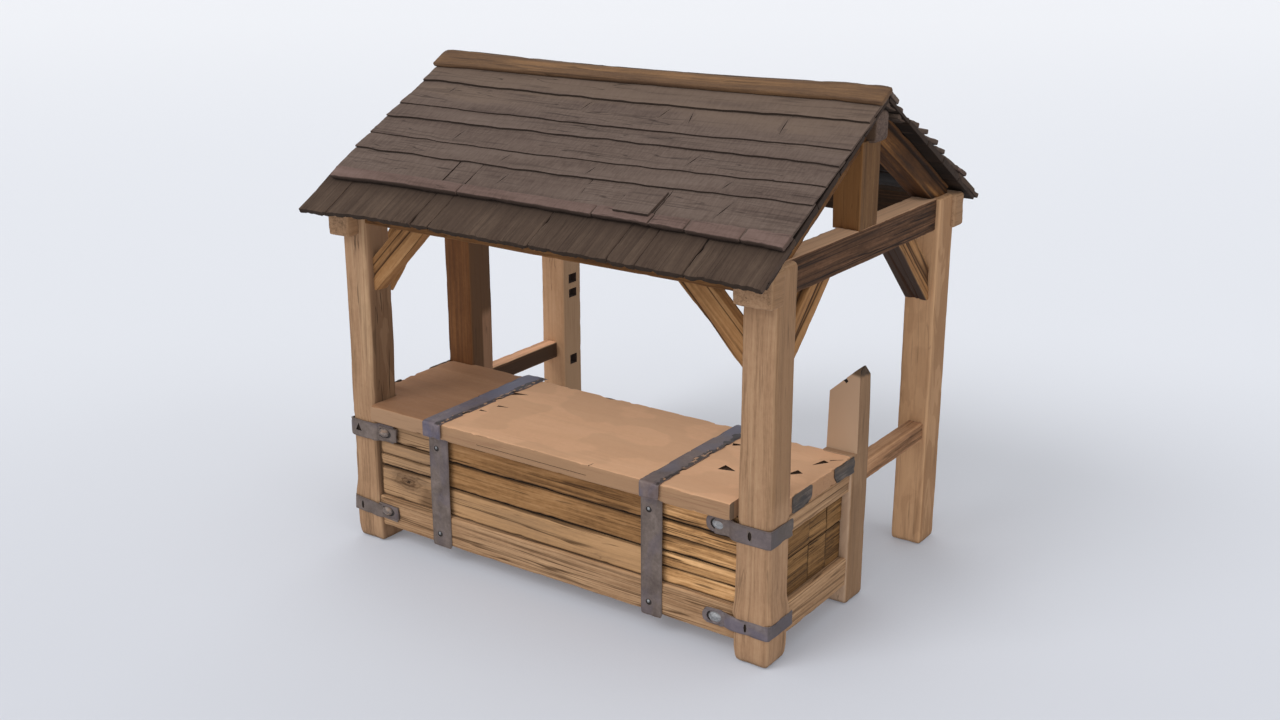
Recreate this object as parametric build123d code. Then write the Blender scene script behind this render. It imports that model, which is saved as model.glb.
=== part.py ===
from build123d import *
from math import cos, sin, tan, radians
import os

# A timber market stall: six posts carry a lapped board roof over a closed counter.
# +X runs along the counter, +Y to the seller's side, +Z up; the origin is at ground level
# in the middle of the plan. All sizes are millimetres.

# Posts
stall_length = 3000  # over the outer faces of the corner posts
stall_depth = 2090  # over the outer faces of the corner posts
post_size = 190
post_height = 2225
post_edge = 9  # worn long edges
foot_edge = 16  # worn edges round the bottom of a post
mid_post_setback = 911  # from the front posts' front faces to the mid posts' front faces
foot_inset = 3  # the front posts are dressed smaller below their lower bands
flare = 10  # and swell by this much on every face where the lower bands grip
flare_run = 45  # height over which the swelling dies out above the band

# The right mid post is broken off; the break climbs from its inner to its outer face
break_low = 1255  # height at the inner face
break_shoulder = 1423  # height of the shoulder under the peak
break_shoulder_in = 55  # from the outer face to the shoulder
break_high = 1457
break_fall = 90  # how far the peak falls towards the seller's side
broken_waist = 20  # narrower than the other posts by this at the worktop
broken_top_width = 160
broken_top_depth = 152

# Old pockets in the inner face of the rear left post: height of the bottom, height, width
old_pockets = [(1250, 66, 70), (1150, 56, 66), (645, 66, 60)]
pocket_depth = 40

# Head of the frame
tie_width = 145
tie_height = 190
tie_recess = 25  # behind the outer faces of the posts
tie_reach = 95  # the ties run through the posts and out by this much
tie_end_edge = 18
plate_width = 145
plate_height = 160

# Roof timbers
roof_pitch = 31.5  # degrees
rafter_toe = 46.6  # height of the rafters' feet, over the post heads at their outer faces
rafter_depth = 155
rafter_width = 150
rafter_recess = 40
king_post_depth = 200
ridge_beam_width = 160
ridge_beam_height = 160
ridge_beam_reach = 20  # beyond the outer faces of the posts
ridge_sag = 20
sag_half_length = 1290
left_gable_drop = 26  # the left gable has settled

# Roof boards, as one stepped form on each side. Each course: exposed length down the slope
# and the height of its lower edge over the rafter backs.
courses = [(258, 52), (213, 60), (147, 66), (183, 74), (142, 80), (273, 95), (249, 62)]
course_step = 29  # thickness of board seen at each lower edge
eave_board = 32
verge_overhang = 60
cap_length = 87  # down each slope
cap_height = 58

# Braces
brace_depth = 155
front_brace_width = 100
gable_brace_width = 150
brace_recess = 40
front_brace_leg = 440
gable_brace_leg = 450
tenon_thickness = 40
tenon_length = 35
mortise_clearance = 1

# Rails between the mid and rear posts
side_rail_bottom = 700
side_rail_height = 120
side_rail_width = 100
side_rail_recess = 25

# Counter
worktop_top = 930
worktop_thickness = 100
worktop_overhang = 44  # in front of the front posts' faces
worktop_edge = 8
rail_bottom = 120
front_rail_height = 200
front_rail_width = 90
front_board_recess = 25
board_thickness = 30
board_gap = 3
board_edge = 4
rail_edge = 7
front_board_heights = [185, 175]  # the top row takes what is left
end_rail_bottom_height = 180
end_rail_top_height = 120
end_rail_width = 90
end_rail_recess = 10
end_board_recess = 55
end_board_height = 226  # the lower row; the upper row takes what is left
back_board_rows = 3

# Ironwork
iron = 7
worktop_strap_width = 108
front_strap_width = 138
right_strap_centre = 768
left_strap_centre = 796
strap_foot_drop = 16  # below the bottom rail
strap_foot_round = 30
band_upper_bottom = 712
band_upper_height = 105
band_lower_bottom = 182
band_lower_height = 88
band_tail = 325  # from the post's outer face to the middle of the round end
band_round = 54
end_plate_width = 240
end_plate_inset = 10
end_plate_round = 20

# Worked-out places
half_length = stall_length / 2
half_depth = stall_depth / 2
post_inner_x = half_length - post_size
post_inner_y = half_depth - post_size
mid_front = mid_post_setback - half_depth
mid_back = mid_front + post_size
tie_outer = half_length - tie_recess
tie_inner = tie_outer - tie_width
tie_bottom = post_height - tie_height
plate_bottom = post_height - plate_height
rafter_outer = half_length - rafter_recess
rafter_inner = rafter_outer - rafter_width
worktop_bottom = worktop_top - worktop_thickness
roof_half_length = half_length + verge_overhang
slope = radians(roof_pitch)
rafter_apex = post_height + rafter_toe + half_depth * tan(slope)  # where the rafter backs would meet
roof_run = sum(exposure for exposure, lower_edge in courses)
level_run = roof_run * cos(slope)


def block(x, y, z, edge=0, axis=None):
    """A box between pairs of limits, with the edges along one axis bevelled."""
    size = (x[1] - x[0], y[1] - y[0], z[1] - z[0])
    middle = ((x[0] + x[1]) / 2, (y[0] + y[1]) / 2, (z[0] + z[1]) / 2)
    solid = Pos(*middle) * Box(*size)
    if edge:
        solid = chamfer(solid.edges().filter_by(axis), edge)
    return solid


def slab_x(points, x):
    """Points of the YZ plane, extruded between two places along X."""
    face = make_face(Polyline(*[(x[0], y, z) for y, z in points], close=True))
    return extrude(face, x[1] - x[0], dir=(1, 0, 0))


def slab_y(points, y):
    """Points of the XZ plane, extruded between two places along Y."""
    face = make_face(Polyline(*[(x, y[0], z) for x, z in points], close=True))
    return extrude(face, y[1] - y[0], dir=(0, 1, 0))


def slab_z(points, z):
    """Points of the XY plane, extruded between two heights."""
    face = make_face(Polyline(*[(x, y, z[0]) for x, y in points], close=True))
    return extrude(face, z[1] - z[0], dir=(0, 0, 1))


def other_end(solid):
    """The same piece at the left end of the stall."""
    return mirror(solid, about=Plane.YZ)


def other_side(solid):
    """The same piece on the seller's side of the stall."""
    return mirror(solid, about=Plane.XZ)


pieces = {}


# ---- Braces: a diagonal timber with a tenon at each end ----

def brace_outline(corner, leg, past):
    """Outline in (away from the post, height), its ends pushed past the faces it meets."""
    post_face, under = corner
    near = leg - brace_depth / cos(radians(45))
    return [
        (post_face - past, under - leg - past),
        (post_face - past, under - near - past),
        (post_face + near + past, under + past),
        (post_face + leg + past, under + past),
    ]


def brace_and_mortise(slab, turn, corner, leg, across):
    """A brace, and the cutter for the two mortises that take its tenons."""
    middle = (across[0] + across[1]) / 2
    half = tenon_thickness / 2
    slack = mortise_clearance

    def outline(past):
        return [(turn * u, v) for u, v in brace_outline(corner, leg, past)]

    body = slab(outline(0), across)
    tenon = slab(outline(tenon_length), (middle - half, middle + half))
    cutter = slab(outline(tenon_length + slack), (middle - half - slack, middle + half + slack))
    return body + tenon, cutter


front_brace_y = (-half_depth + brace_recess, -half_depth + brace_recess + front_brace_width)
gable_brace_x = (half_length - brace_recess - gable_brace_width, half_length - brace_recess)
front_brace, front_mortise = brace_and_mortise(
    slab_y, -1, (-post_inner_x, plate_bottom), front_brace_leg, front_brace_y
)
gable_brace, gable_mortise = brace_and_mortise(
    slab_x, 1, (-post_inner_y, tie_bottom), gable_brace_leg, gable_brace_x
)
pieces["front_brace_right"] = front_brace
pieces["front_brace_left"] = other_end(front_brace)
pieces["gable_brace_front_right"] = gable_brace
pieces["gable_brace_front_left"] = other_end(gable_brace)
pieces["gable_brace_rear_right"] = other_side(gable_brace)
pieces["gable_brace_rear_left"] = other_end(other_side(gable_brace))


# ---- Tie beams, which pass through forked post heads ----

def tie_beam():
    reach = half_depth + tie_reach
    beam = block((tie_inner, tie_outer), (-reach, reach), (tie_bottom, post_height))
    ends = beam.edges().filter_by_position(Axis.Y, -reach, -reach)
    ends += beam.edges().filter_by_position(Axis.Y, reach, reach)
    beam = chamfer(ends, tie_end_edge)
    return beam - gable_mortise - other_side(gable_mortise)


tie_slot = block((tie_inner, tie_outer), (-2 * half_depth, 2 * half_depth), (tie_bottom, 2 * post_height))
pieces["tie_beam_right"] = tie_beam()
pieces["tie_beam_left"] = other_end(tie_beam())


# ---- Side rails from the mid posts to the rear posts ----

side_rail_outer = half_length - side_rail_recess
side_rail_x = (side_rail_outer - side_rail_width, side_rail_outer)
side_rail_z = (side_rail_bottom, side_rail_bottom + side_rail_height)


def rail_tenon(slack):
    """The tenoned core of a side rail; with slack, the cutter for its mortises."""
    x = (side_rail_x[0] + side_rail_x[1] - tenon_thickness) / 2
    past = tenon_length + slack
    return block(
        (x - slack, x + tenon_thickness + slack),
        (mid_back - past, post_inner_y + past),
        (side_rail_z[0] + tenon_thickness / 2 - slack, side_rail_z[1] - tenon_thickness / 2 + slack),
    )


side_rail = block(side_rail_x, (mid_back, post_inner_y), side_rail_z, rail_edge, Axis.Y) + rail_tenon(0)
side_rail_mortise = rail_tenon(mortise_clearance)
pieces["side_rail_right"] = side_rail
pieces["side_rail_left"] = other_end(side_rail)


# ---- Posts ----

def section(front, z, grown, narrowed=(0, 0)):
    """Outline of a right-hand post at one height: grown on every side, narrowed from inside and behind."""
    width = post_size + 2 * grown - narrowed[0]
    depth = post_size + 2 * grown - narrowed[1]
    outline = Rectangle(width, depth)
    outline = chamfer(outline.vertices(), post_edge)
    return Pos(half_length + grown - width / 2, front - grown + depth / 2, z) * outline


def shaft(front, levels):
    """A post of the right end through (height, growth) levels, its front face at a place along Y."""
    solid = None
    for (z0, grown0), (z1, grown1) in zip(levels, levels[1:]):
        if grown0 == grown1:
            length = extrude(section(front, z0, grown0), z1 - z0)
        else:
            length = loft([section(front, z0, grown0), section(front, z1, grown1)], ruled=True)
        solid = length if solid is None else solid + length
    return solid


def post(front, height):
    """A plain post, with a worn foot."""
    return shaft(front, [(0, -foot_edge), (foot_edge, 0), (height, 0)])


def front_post():
    """Dressed down at the foot, swollen at the lower band, forked for the tie beam."""
    band_top = band_lower_bottom + band_lower_height
    foot = [(0, -foot_inset - foot_edge), (foot_edge, -foot_inset), (band_lower_bottom, -foot_inset)]
    grip = [(band_lower_bottom, flare), (band_top, flare), (band_top + flare_run, 0), (post_height, 0)]
    solid = shaft(-half_depth, foot) + shaft(-half_depth, grip)
    return solid - tie_slot - gable_mortise - front_mortise


def rear_post():
    solid = post(post_inner_y, post_height)
    return solid - tie_slot - other_side(gable_mortise) - side_rail_mortise


def broken_post():
    """The right mid post, snapped off above the worktop."""
    waist = (broken_waist, 0)
    top = (post_size - broken_top_width, post_size - broken_top_depth)
    lower = loft([section(mid_front, foot_edge, 0), section(mid_front, worktop_top, 0, waist)], ruled=True)
    upper = loft(
        [section(mid_front, worktop_top, 0, waist), section(mid_front, break_high, 0, top)], ruled=True
    )
    solid = shaft(mid_front, [(0, -foot_edge), (foot_edge, 0)]) + lower + upper

    inner = half_length - broken_top_width
    clear = 2 * break_high
    slant = [
        (post_inner_x, break_low),
        (inner, break_low),
        (half_length - break_shoulder_in, break_shoulder),
        (half_length, break_high),
        (half_length, clear),
        (post_inner_x, clear),
    ]
    back = mid_front + broken_top_depth
    fall = [(mid_front + broken_top_depth / 3, break_high), (back, break_high - break_fall)]
    fall += [(mid_back, break_high - break_fall), (mid_back, clear), (mid_front + broken_top_depth / 3, clear)]
    solid = solid - slab_y(slant, (mid_front, mid_back))
    solid = solid - slab_x(fall, (post_inner_x, half_length))
    return solid - side_rail_mortise


def pocketed(solid):
    """Cuts the old pockets into the inner face of the rear left post."""
    for bottom, height, width in old_pockets:
        y = post_inner_y + (post_size - width) / 2
        hole = block((-post_inner_x - pocket_depth, -post_inner_x + 1), (y, y + width), (bottom, bottom + height))
        solid = solid - hole
    return solid


pieces["front_post_right"] = front_post()
pieces["front_post_left"] = other_end(front_post())
pieces["mid_post_right"] = broken_post()
pieces["mid_post_left"] = other_end(post(mid_front, tie_bottom) - side_rail_mortise)
pieces["rear_post_right"] = rear_post()
pieces["rear_post_left"] = pocketed(other_end(rear_post()))


# ---- Eave plates, between the post heads ----

plate_inside = -half_depth + plate_width
front_plate = block(
    (-post_inner_x, post_inner_x), (-half_depth, plate_inside), (plate_bottom, post_height), rail_edge, Axis.X
)
pieces["front_plate"] = front_plate - front_mortise - other_end(front_mortise)
pieces["rear_plate"] = other_side(front_plate)


# ---- Roof frame ----

def rafter_back(distance, drop):
    """Height of the rafter backs at a level distance from a ridge that has dropped."""
    return rafter_apex - drop - distance * (tan(slope) - drop / level_run)


def sag_at(x):
    """How far the ridge has dropped: a sag between the gables, and the settled left gable."""
    across = max(-1, min(1, x / sag_half_length))
    return ridge_sag * (1 - across**2) + left_gable_drop * (1 - across) / 2


def rafter(drop):
    """A front rafter of the right end: plumb cut at the ridge beam, level seat on the post head."""
    head = ridge_beam_width / 2
    under = rafter_depth / cos(slope)
    seat = (rafter_apex - drop - under - post_height) / (tan(slope) - drop / level_run)
    points = [
        (-head, rafter_back(head, drop)),
        (-half_depth, rafter_back(half_depth, drop)),
        (-half_depth, post_height),
        (-seat, post_height),
        (-head, rafter_back(head, drop) - under),
    ]
    return slab_x(points, (rafter_inner, rafter_outer))


ridge_beam_top = rafter_back(ridge_beam_width / 2, 0)
ridge_beam_bottom = ridge_beam_top - ridge_beam_height


def along_the_roof(outline, end):
    """Lofts an outline, given as a function of the sag, from one gable to the other."""
    quarter = sag_half_length / 2
    stations = [-end, -sag_half_length, -quarter, 0, quarter, sag_half_length, end]
    faces = []
    for x in stations:
        points = [(x, y, z) for y, z in outline(sag_at(x))]
        faces.append(make_face(Polyline(*points, close=True)))
    return loft(faces, ruled=True)


def ridge_outline(sag):
    half = ridge_beam_width / 2
    top = ridge_beam_top - sag
    bottom = ridge_beam_bottom - sag
    return [(-half, bottom), (half, bottom), (half, top), (-half, top)]


def king_post(drop):
    """Stands on the tie beam of the right end and carries the ridge beam."""
    solid = block(
        (rafter_inner, rafter_outer),
        (-king_post_depth / 2, king_post_depth / 2),
        (post_height, ridge_beam_bottom - drop),
        rail_edge,
        Axis.Z,
    )
    return solid - rafter(drop) - other_side(rafter(drop))


pieces["ridge_beam"] = along_the_roof(ridge_outline, half_length + ridge_beam_reach)
pieces["king_post_right"] = king_post(0)
pieces["king_post_left"] = other_end(king_post(left_gable_drop))
pieces["rafter_front_right"] = rafter(0)
pieces["rafter_rear_right"] = other_side(rafter(0))
pieces["rafter_front_left"] = other_end(rafter(left_gable_drop))
pieces["rafter_rear_left"] = other_end(other_side(rafter(left_gable_drop)))


# ---- Roof boards ----

def on_slope(down, height, sag):
    """(y, z) of a point given down the front slope and square to it."""
    y = down * cos(slope) + height * sin(slope)
    z = rafter_apex - down * sin(slope) + height * cos(slope)
    return (-y, z - sag * (1 - down / roof_run))


def at_ridge(height, sag):
    """(y, z) on the plumb line of the ridge, at a height square to the slope."""
    return (0, rafter_apex + height / cos(slope) - sag)


def roof_outline(sag):
    """The front slope: flat underneath, stepped by the courses on top."""
    top = [at_ridge(course_step, sag)]
    down = 0
    for exposure, lower_edge in courses:
        down = down + exposure
        top.append(on_slope(down, lower_edge, sag))
        top.append(on_slope(down, lower_edge - course_step, sag))
    top[-1] = on_slope(down, courses[-1][1] - eave_board, sag)
    underside = [on_slope(half_depth / cos(slope), 0, sag), at_ridge(0, sag)]
    return top + underside


def cap_outline(sag):
    """The ridge cap: two boards meeting over the ridge."""
    first_length, first_edge = courses[0]
    ridge_y, ridge_z = at_ridge(course_step, sag)
    edge_y, edge_z = on_slope(first_length, first_edge, sag)
    share = cap_length / first_length
    under = (ridge_y + share * (edge_y - ridge_y), ridge_z + share * (edge_z - ridge_z))
    half = [under, on_slope(cap_length, cap_height, sag)]
    opposite = [(-y, z) for y, z in reversed(half)]
    return [(ridge_y, ridge_z)] + half + [at_ridge(cap_height, sag)] + opposite


roof_front = along_the_roof(roof_outline, roof_half_length)
pieces["roof_front"] = roof_front
pieces["roof_rear"] = other_side(roof_front)
pieces["ridge_cap"] = along_the_roof(cap_outline, roof_half_length)


# ---- Counter ----

def board(x, y, z, axis):
    return block(x, y, z, board_edge, axis)


def rows(bottom, heights, top):
    """Height limits of rows of boards, with a gap between each two."""
    limits = []
    for height in heights:
        limits.append((bottom, bottom + height - board_gap))
        bottom = bottom + height
    limits.append((bottom, top))
    return limits


front_inner_x = (-post_inner_x, post_inner_x)
rail_back = -half_depth + front_rail_width
front_rail_top = rail_bottom + front_rail_height
front_rail = block(
    front_inner_x, (-half_depth, rail_back), (rail_bottom, front_rail_top), rail_edge, Axis.X
)
pieces["front_rail"] = front_rail - pieces["front_post_right"] - pieces["front_post_left"]
board_front = -half_depth + front_board_recess
pieces["front_boards"] = Compound(
    children=[
        board(front_inner_x, (board_front, board_front + board_thickness), z, Axis.X)
        for z in rows(front_rail_top, front_board_heights, worktop_bottom)
    ]
)

end_y = (-post_inner_y, mid_front)
end_rail_outer = half_length - end_rail_recess
end_rail_x = (end_rail_outer - end_rail_width, end_rail_outer)
end_rail_low = (rail_bottom, rail_bottom + end_rail_bottom_height)
end_rail_high = (worktop_bottom - end_rail_top_height, worktop_bottom)
end_board_outer = half_length - end_board_recess
end_board_x = (end_board_outer - board_thickness, end_board_outer)
end_rails = Compound(
    children=[
        block(end_rail_x, end_y, z, rail_edge, Axis.Y) - pieces["front_post_right"]
        for z in (end_rail_low, end_rail_high)
    ]
)
end_boards = Compound(
    children=[
        board(end_board_x, end_y, z, Axis.Y) - pieces["front_post_right"]
        for z in rows(end_rail_low[1], [end_board_height], end_rail_high[0])
    ]
)
pieces["end_rails_right"] = end_rails
pieces["end_rails_left"] = other_end(end_rails)
pieces["end_boards_right"] = end_boards
pieces["end_boards_left"] = other_end(end_boards)

back_x = (-end_rail_x[0], end_rail_x[0])
back_height = (worktop_bottom - rail_bottom) / back_board_rows
pieces["back_boards"] = Compound(
    children=[
        board(back_x, (mid_front - board_thickness, mid_front), z, Axis.X)
        for z in rows(rail_bottom, [back_height] * (back_board_rows - 1), worktop_bottom)
    ]
)

worktop_front = -half_depth - worktop_overhang
worktop_plan = [
    (-post_inner_x, worktop_front),
    (post_inner_x, worktop_front),
    (post_inner_x, -post_inner_y),
    (half_length, -post_inner_y),
    (half_length, mid_front),
    (-half_length, mid_front),
    (-half_length, -post_inner_y),
    (-post_inner_x, -post_inner_y),
]
worktop = slab_z(worktop_plan, (worktop_bottom, worktop_top))
worktop_front_edges = worktop.edges().filter_by(Axis.X).group_by(Axis.Y)[0]
pieces["worktop"] = fillet(worktop_front_edges, worktop_edge)


# ---- Ironwork ----

def bent_strip(plane, points, width):
    """Flat iron following a line, laid on the line's left side."""
    line = Polyline(*points)
    outer = offset(line, amount=iron, side=Side.LEFT)
    return extrude(plane * make_face(outer), width)


def worktop_strap(centre):
    """Lies across the worktop and turns down over its front and rear edges."""
    points = [
        (worktop_front, worktop_bottom),
        (worktop_front, worktop_top),
        (mid_front, worktop_top),
        (mid_front, worktop_bottom),
    ]
    start = centre - worktop_strap_width / 2
    return bent_strip(Plane.YZ.offset(start), points, worktop_strap_width)


def front_strap(centre):
    """Stands between the worktop and the bottom rail's face, its foot rounded."""
    half = front_strap_width / 2
    y = (-half_depth - iron, -half_depth)
    z = (rail_bottom - strap_foot_drop, worktop_bottom)
    strap = block((centre - half, centre + half), y, z)
    corners = strap.edges().filter_by(Axis.Y).group_by(Axis.Z)[0]
    return fillet(corners, strap_foot_round)


def band(bottom, height, grown, step):
    """Wraps the side and front of a front right post and ends in a round tail on the counter."""
    side = half_length + grown
    face = -half_depth - grown
    tail_face = -half_depth + step
    turn = post_inner_x - grown
    tail_x = half_length - band_tail
    points = [
        (side, -post_inner_y + grown),
        (side, face),
        (turn, face),
        (turn, tail_face),
        (tail_x, tail_face),
    ]
    strip = Pos(0, 0, bottom) * bent_strip(Plane.XY, points, height)
    middle = bottom + height / 2
    disc = Plane((tail_x, tail_face, middle), z_dir=(0, -1, 0)) * Cylinder(
        band_round, iron, align=(Align.CENTER, Align.CENTER, Align.MIN)
    )
    return strip + disc


for end, centre in (("right", right_strap_centre), ("left", -left_strap_centre)):
    pieces["worktop_strap_" + end] = worktop_strap(centre)
    pieces["front_strap_" + end] = front_strap(centre)
upper_band = band(band_upper_bottom, band_upper_height, 0, front_board_recess)
lower_band = band(band_lower_bottom, band_lower_height, flare, 0)
pieces["band_upper_right"] = upper_band
pieces["band_upper_left"] = other_end(upper_band)
pieces["band_lower_right"] = lower_band
pieces["band_lower_left"] = other_end(lower_band)


def end_plate(y):
    """An iron plate on the end of the worktop, between two places along Y."""
    plate = block((half_length, half_length + iron), y, (worktop_bottom, worktop_top))
    corners = plate.edges().filter_by(Axis.X)
    return fillet(corners, end_plate_round)


front_plate_y = (-post_inner_y + end_plate_inset, -post_inner_y + end_plate_inset + end_plate_width)
rear_plate_y = (mid_front - end_plate_inset - end_plate_width, mid_front - end_plate_inset)
end_plates = Compound(children=[end_plate(front_plate_y), end_plate(rear_plate_y)])
pieces["end_plates_right"] = end_plates
pieces["end_plates_left"] = other_end(end_plates)


# ---- Output ----

os.makedirs("parts", exist_ok=True)
for name, shape in pieces.items():
    export_step(shape, "parts/" + name + ".step")
print(len(pieces), "pieces")
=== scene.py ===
import bpy
import bmesh
import random
from math import atan, ceil, cos, pi, radians, sin, tan
from mathutils import Matrix, Vector


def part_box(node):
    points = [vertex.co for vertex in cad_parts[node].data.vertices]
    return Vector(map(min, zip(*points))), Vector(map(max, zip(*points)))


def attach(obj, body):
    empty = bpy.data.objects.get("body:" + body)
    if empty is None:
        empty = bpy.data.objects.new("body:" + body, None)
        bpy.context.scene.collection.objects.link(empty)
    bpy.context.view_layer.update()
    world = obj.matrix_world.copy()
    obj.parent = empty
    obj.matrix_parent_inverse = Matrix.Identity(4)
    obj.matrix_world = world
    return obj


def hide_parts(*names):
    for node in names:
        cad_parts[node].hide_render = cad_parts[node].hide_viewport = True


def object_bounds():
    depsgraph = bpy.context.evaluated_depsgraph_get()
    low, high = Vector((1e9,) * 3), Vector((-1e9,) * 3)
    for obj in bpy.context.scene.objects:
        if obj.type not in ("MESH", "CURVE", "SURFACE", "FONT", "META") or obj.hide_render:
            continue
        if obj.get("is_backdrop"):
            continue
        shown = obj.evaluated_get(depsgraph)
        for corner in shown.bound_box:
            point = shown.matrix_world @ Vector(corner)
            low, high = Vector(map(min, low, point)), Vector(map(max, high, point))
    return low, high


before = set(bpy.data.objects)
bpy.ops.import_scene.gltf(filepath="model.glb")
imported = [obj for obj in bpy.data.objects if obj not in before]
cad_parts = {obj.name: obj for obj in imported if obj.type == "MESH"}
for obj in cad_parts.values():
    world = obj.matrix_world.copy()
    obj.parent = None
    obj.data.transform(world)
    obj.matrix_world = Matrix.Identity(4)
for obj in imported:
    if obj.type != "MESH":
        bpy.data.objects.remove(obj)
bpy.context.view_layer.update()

dice = random.Random(7)
EAST, WEST, NORTH, SOUTH, UP = (1, 0, 0), (-1, 0, 0), (0, 1, 0), (0, -1, 0), (0, 0, 1)


# ---- Node trees: shader maths and geometry maths written as expressions ----

class Value:
    """A socket of a node tree. Arithmetic on it adds Math nodes to the tree."""

    def __init__(self, graph, socket):
        self.graph = graph
        self.socket = socket

    def math(self, operation, *terms):
        return self.graph.node("ShaderNodeMath", {"operation": operation}, dict(enumerate(terms)))

    def __add__(self, other):
        return self.math("ADD", self, other)

    def __sub__(self, other):
        return self.math("SUBTRACT", self, other)

    def __rsub__(self, other):
        return self.math("SUBTRACT", other, self)

    def __mul__(self, other):
        return self.math("MULTIPLY", self, other)

    def __truediv__(self, other):
        return self.math("DIVIDE", self, other)

    def __rtruediv__(self, other):
        return self.math("DIVIDE", other, self)

    def __abs__(self):
        return self.math("ABSOLUTE", self)

    __radd__ = __add__
    __rmul__ = __mul__

    def least(self, other):
        return self.math("MINIMUM", self, other)

    def most(self, other):
        return self.math("MAXIMUM", self, other)

    def sine(self):
        return self.math("SINE", self)

    def rise(self, low, high):
        """0 at low, 1 at high and smooth between; it falls where low is above high."""
        settings = {"interpolation_type": "SMOOTHSTEP"}
        return self.graph.node("ShaderNodeMapRange", settings, {0: self, 1: low, 2: high})


class Graph:
    """Adds nodes to one node tree."""

    def __init__(self, tree):
        self.tree = tree

    def node(self, kind, settings, values, output=0):
        node = self.tree.nodes.new(kind)
        for name, setting in settings.items():
            if name == "stops":
                self.set_stops(node.color_ramp, setting)
            else:
                setattr(node, name, setting)
        for socket, value in values.items():
            if isinstance(value, Value):
                self.tree.links.new(value.socket, node.inputs[socket])
            else:
                node.inputs[socket].default_value = value
        return Value(self, node.outputs[output])

    def set_stops(self, ramp, stops):
        while len(ramp.elements) < len(stops):
            ramp.elements.new(0.5)
        for element, (position, colour) in zip(ramp.elements, stops):
            element.position = position
            element.color = colour

    def vector(self, operation, *terms, output=0):
        return self.node("ShaderNodeVectorMath", {"operation": operation}, dict(enumerate(terms)), output)

    def scaled(self, vector, factor):
        return self.node("ShaderNodeVectorMath", {"operation": "SCALE"}, {0: vector, "Scale": factor})

    def parts(self, vector):
        split = self.node("ShaderNodeSeparateXYZ", {}, {0: vector})
        return [Value(self, socket) for socket in split.socket.node.outputs]

    def joined(self, x, y, z):
        return self.node("ShaderNodeCombineXYZ", {}, {0: x, 1: y, 2: z})

    def noise(self, vector, stretch, detail=2, roughness=0.5, distortion=0, output=0):
        """Noise with so many waves to the metre along x, y and z, from 0 to 1 about a half."""
        place = self.vector("MULTIPLY", vector, stretch)
        values = {
            "Vector": place, "Scale": 1, "Detail": detail, "Roughness": roughness, "Distortion": distortion,
        }
        return self.node("ShaderNodeTexNoise", {}, values, output)

    def distance(self, x, y, z):
        """How far a point lies from the origin."""
        return self.vector("LENGTH", self.joined(x, y, z), output=1)

    def openness(self, reach, samples=6):
        """1 in the open, and less where other surfaces stand within reach."""
        return self.node("ShaderNodeAmbientOcclusion", {"samples": samples}, {"Distance": reach}, 1)

    def bump(self, depth, height):
        return self.node("ShaderNodeBump", {}, {"Strength": 0.5, "Distance": depth, "Height": height})

    def ramp(self, tone, dark, middle, light):
        stops = [(0.15, dark), (0.5, middle), (0.85, light)]
        return self.node("ShaderNodeValToRGB", {"stops": stops}, {0: tone})

    def mix(self, factor, first, second):
        return self.node("ShaderNodeMix", {"data_type": "RGBA"}, {0: factor, 6: first, 7: second}, 2)


# ---- Weathering: what years outdoors do to the shape of a timber ----

def new_modifier_group(name, inputs):
    """A geometry node group, and its named inputs as values."""
    tree = bpy.data.node_groups.new(name, "GeometryNodeTree")
    tree.interface.new_socket("Geometry", in_out="INPUT", socket_type="NodeSocketGeometry")
    for title, kind in inputs.items():
        tree.interface.new_socket(title, in_out="INPUT", socket_type=kind)
    tree.interface.new_socket("Geometry", in_out="OUTPUT", socket_type="NodeSocketGeometry")
    graph = Graph(tree)
    entry = tree.nodes.new("NodeGroupInput")
    given = {title: Value(graph, entry.outputs[title]) for title in ["Geometry", *inputs]}
    return tree, graph, given


def close_modifier_group(tree, geometry):
    leave = tree.nodes.new("NodeGroupOutput")
    tree.links.new(geometry.socket, leave.inputs[0])


WEAR = {
    "Crowd": 0.16, "Radius": 0.008, "Corner": 0.0, "Warp": 0.002, "Waves": 0.003, "Grooves": 0.0012,
    "Furrows": 0.0, "Pitch": 16.0, "Chips": 0.004, "Chip run": 8.0, "Ragged end": 0.0, "Ragged edge": 0.0,
    "Line": (0, 0, 0),
}
END_RUN = 0.09  # the cells of a timber crowd towards its ends over this length


def furrow_lines(graph, grain, pitch):
    """1 along the middle of long furrows that follow the grain, so many to the metre."""
    course = graph.noise(grain, graph.joined(0.35, pitch, pitch), 1)
    return abs(course - 0.5).rise(0.06, 0.0)


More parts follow.
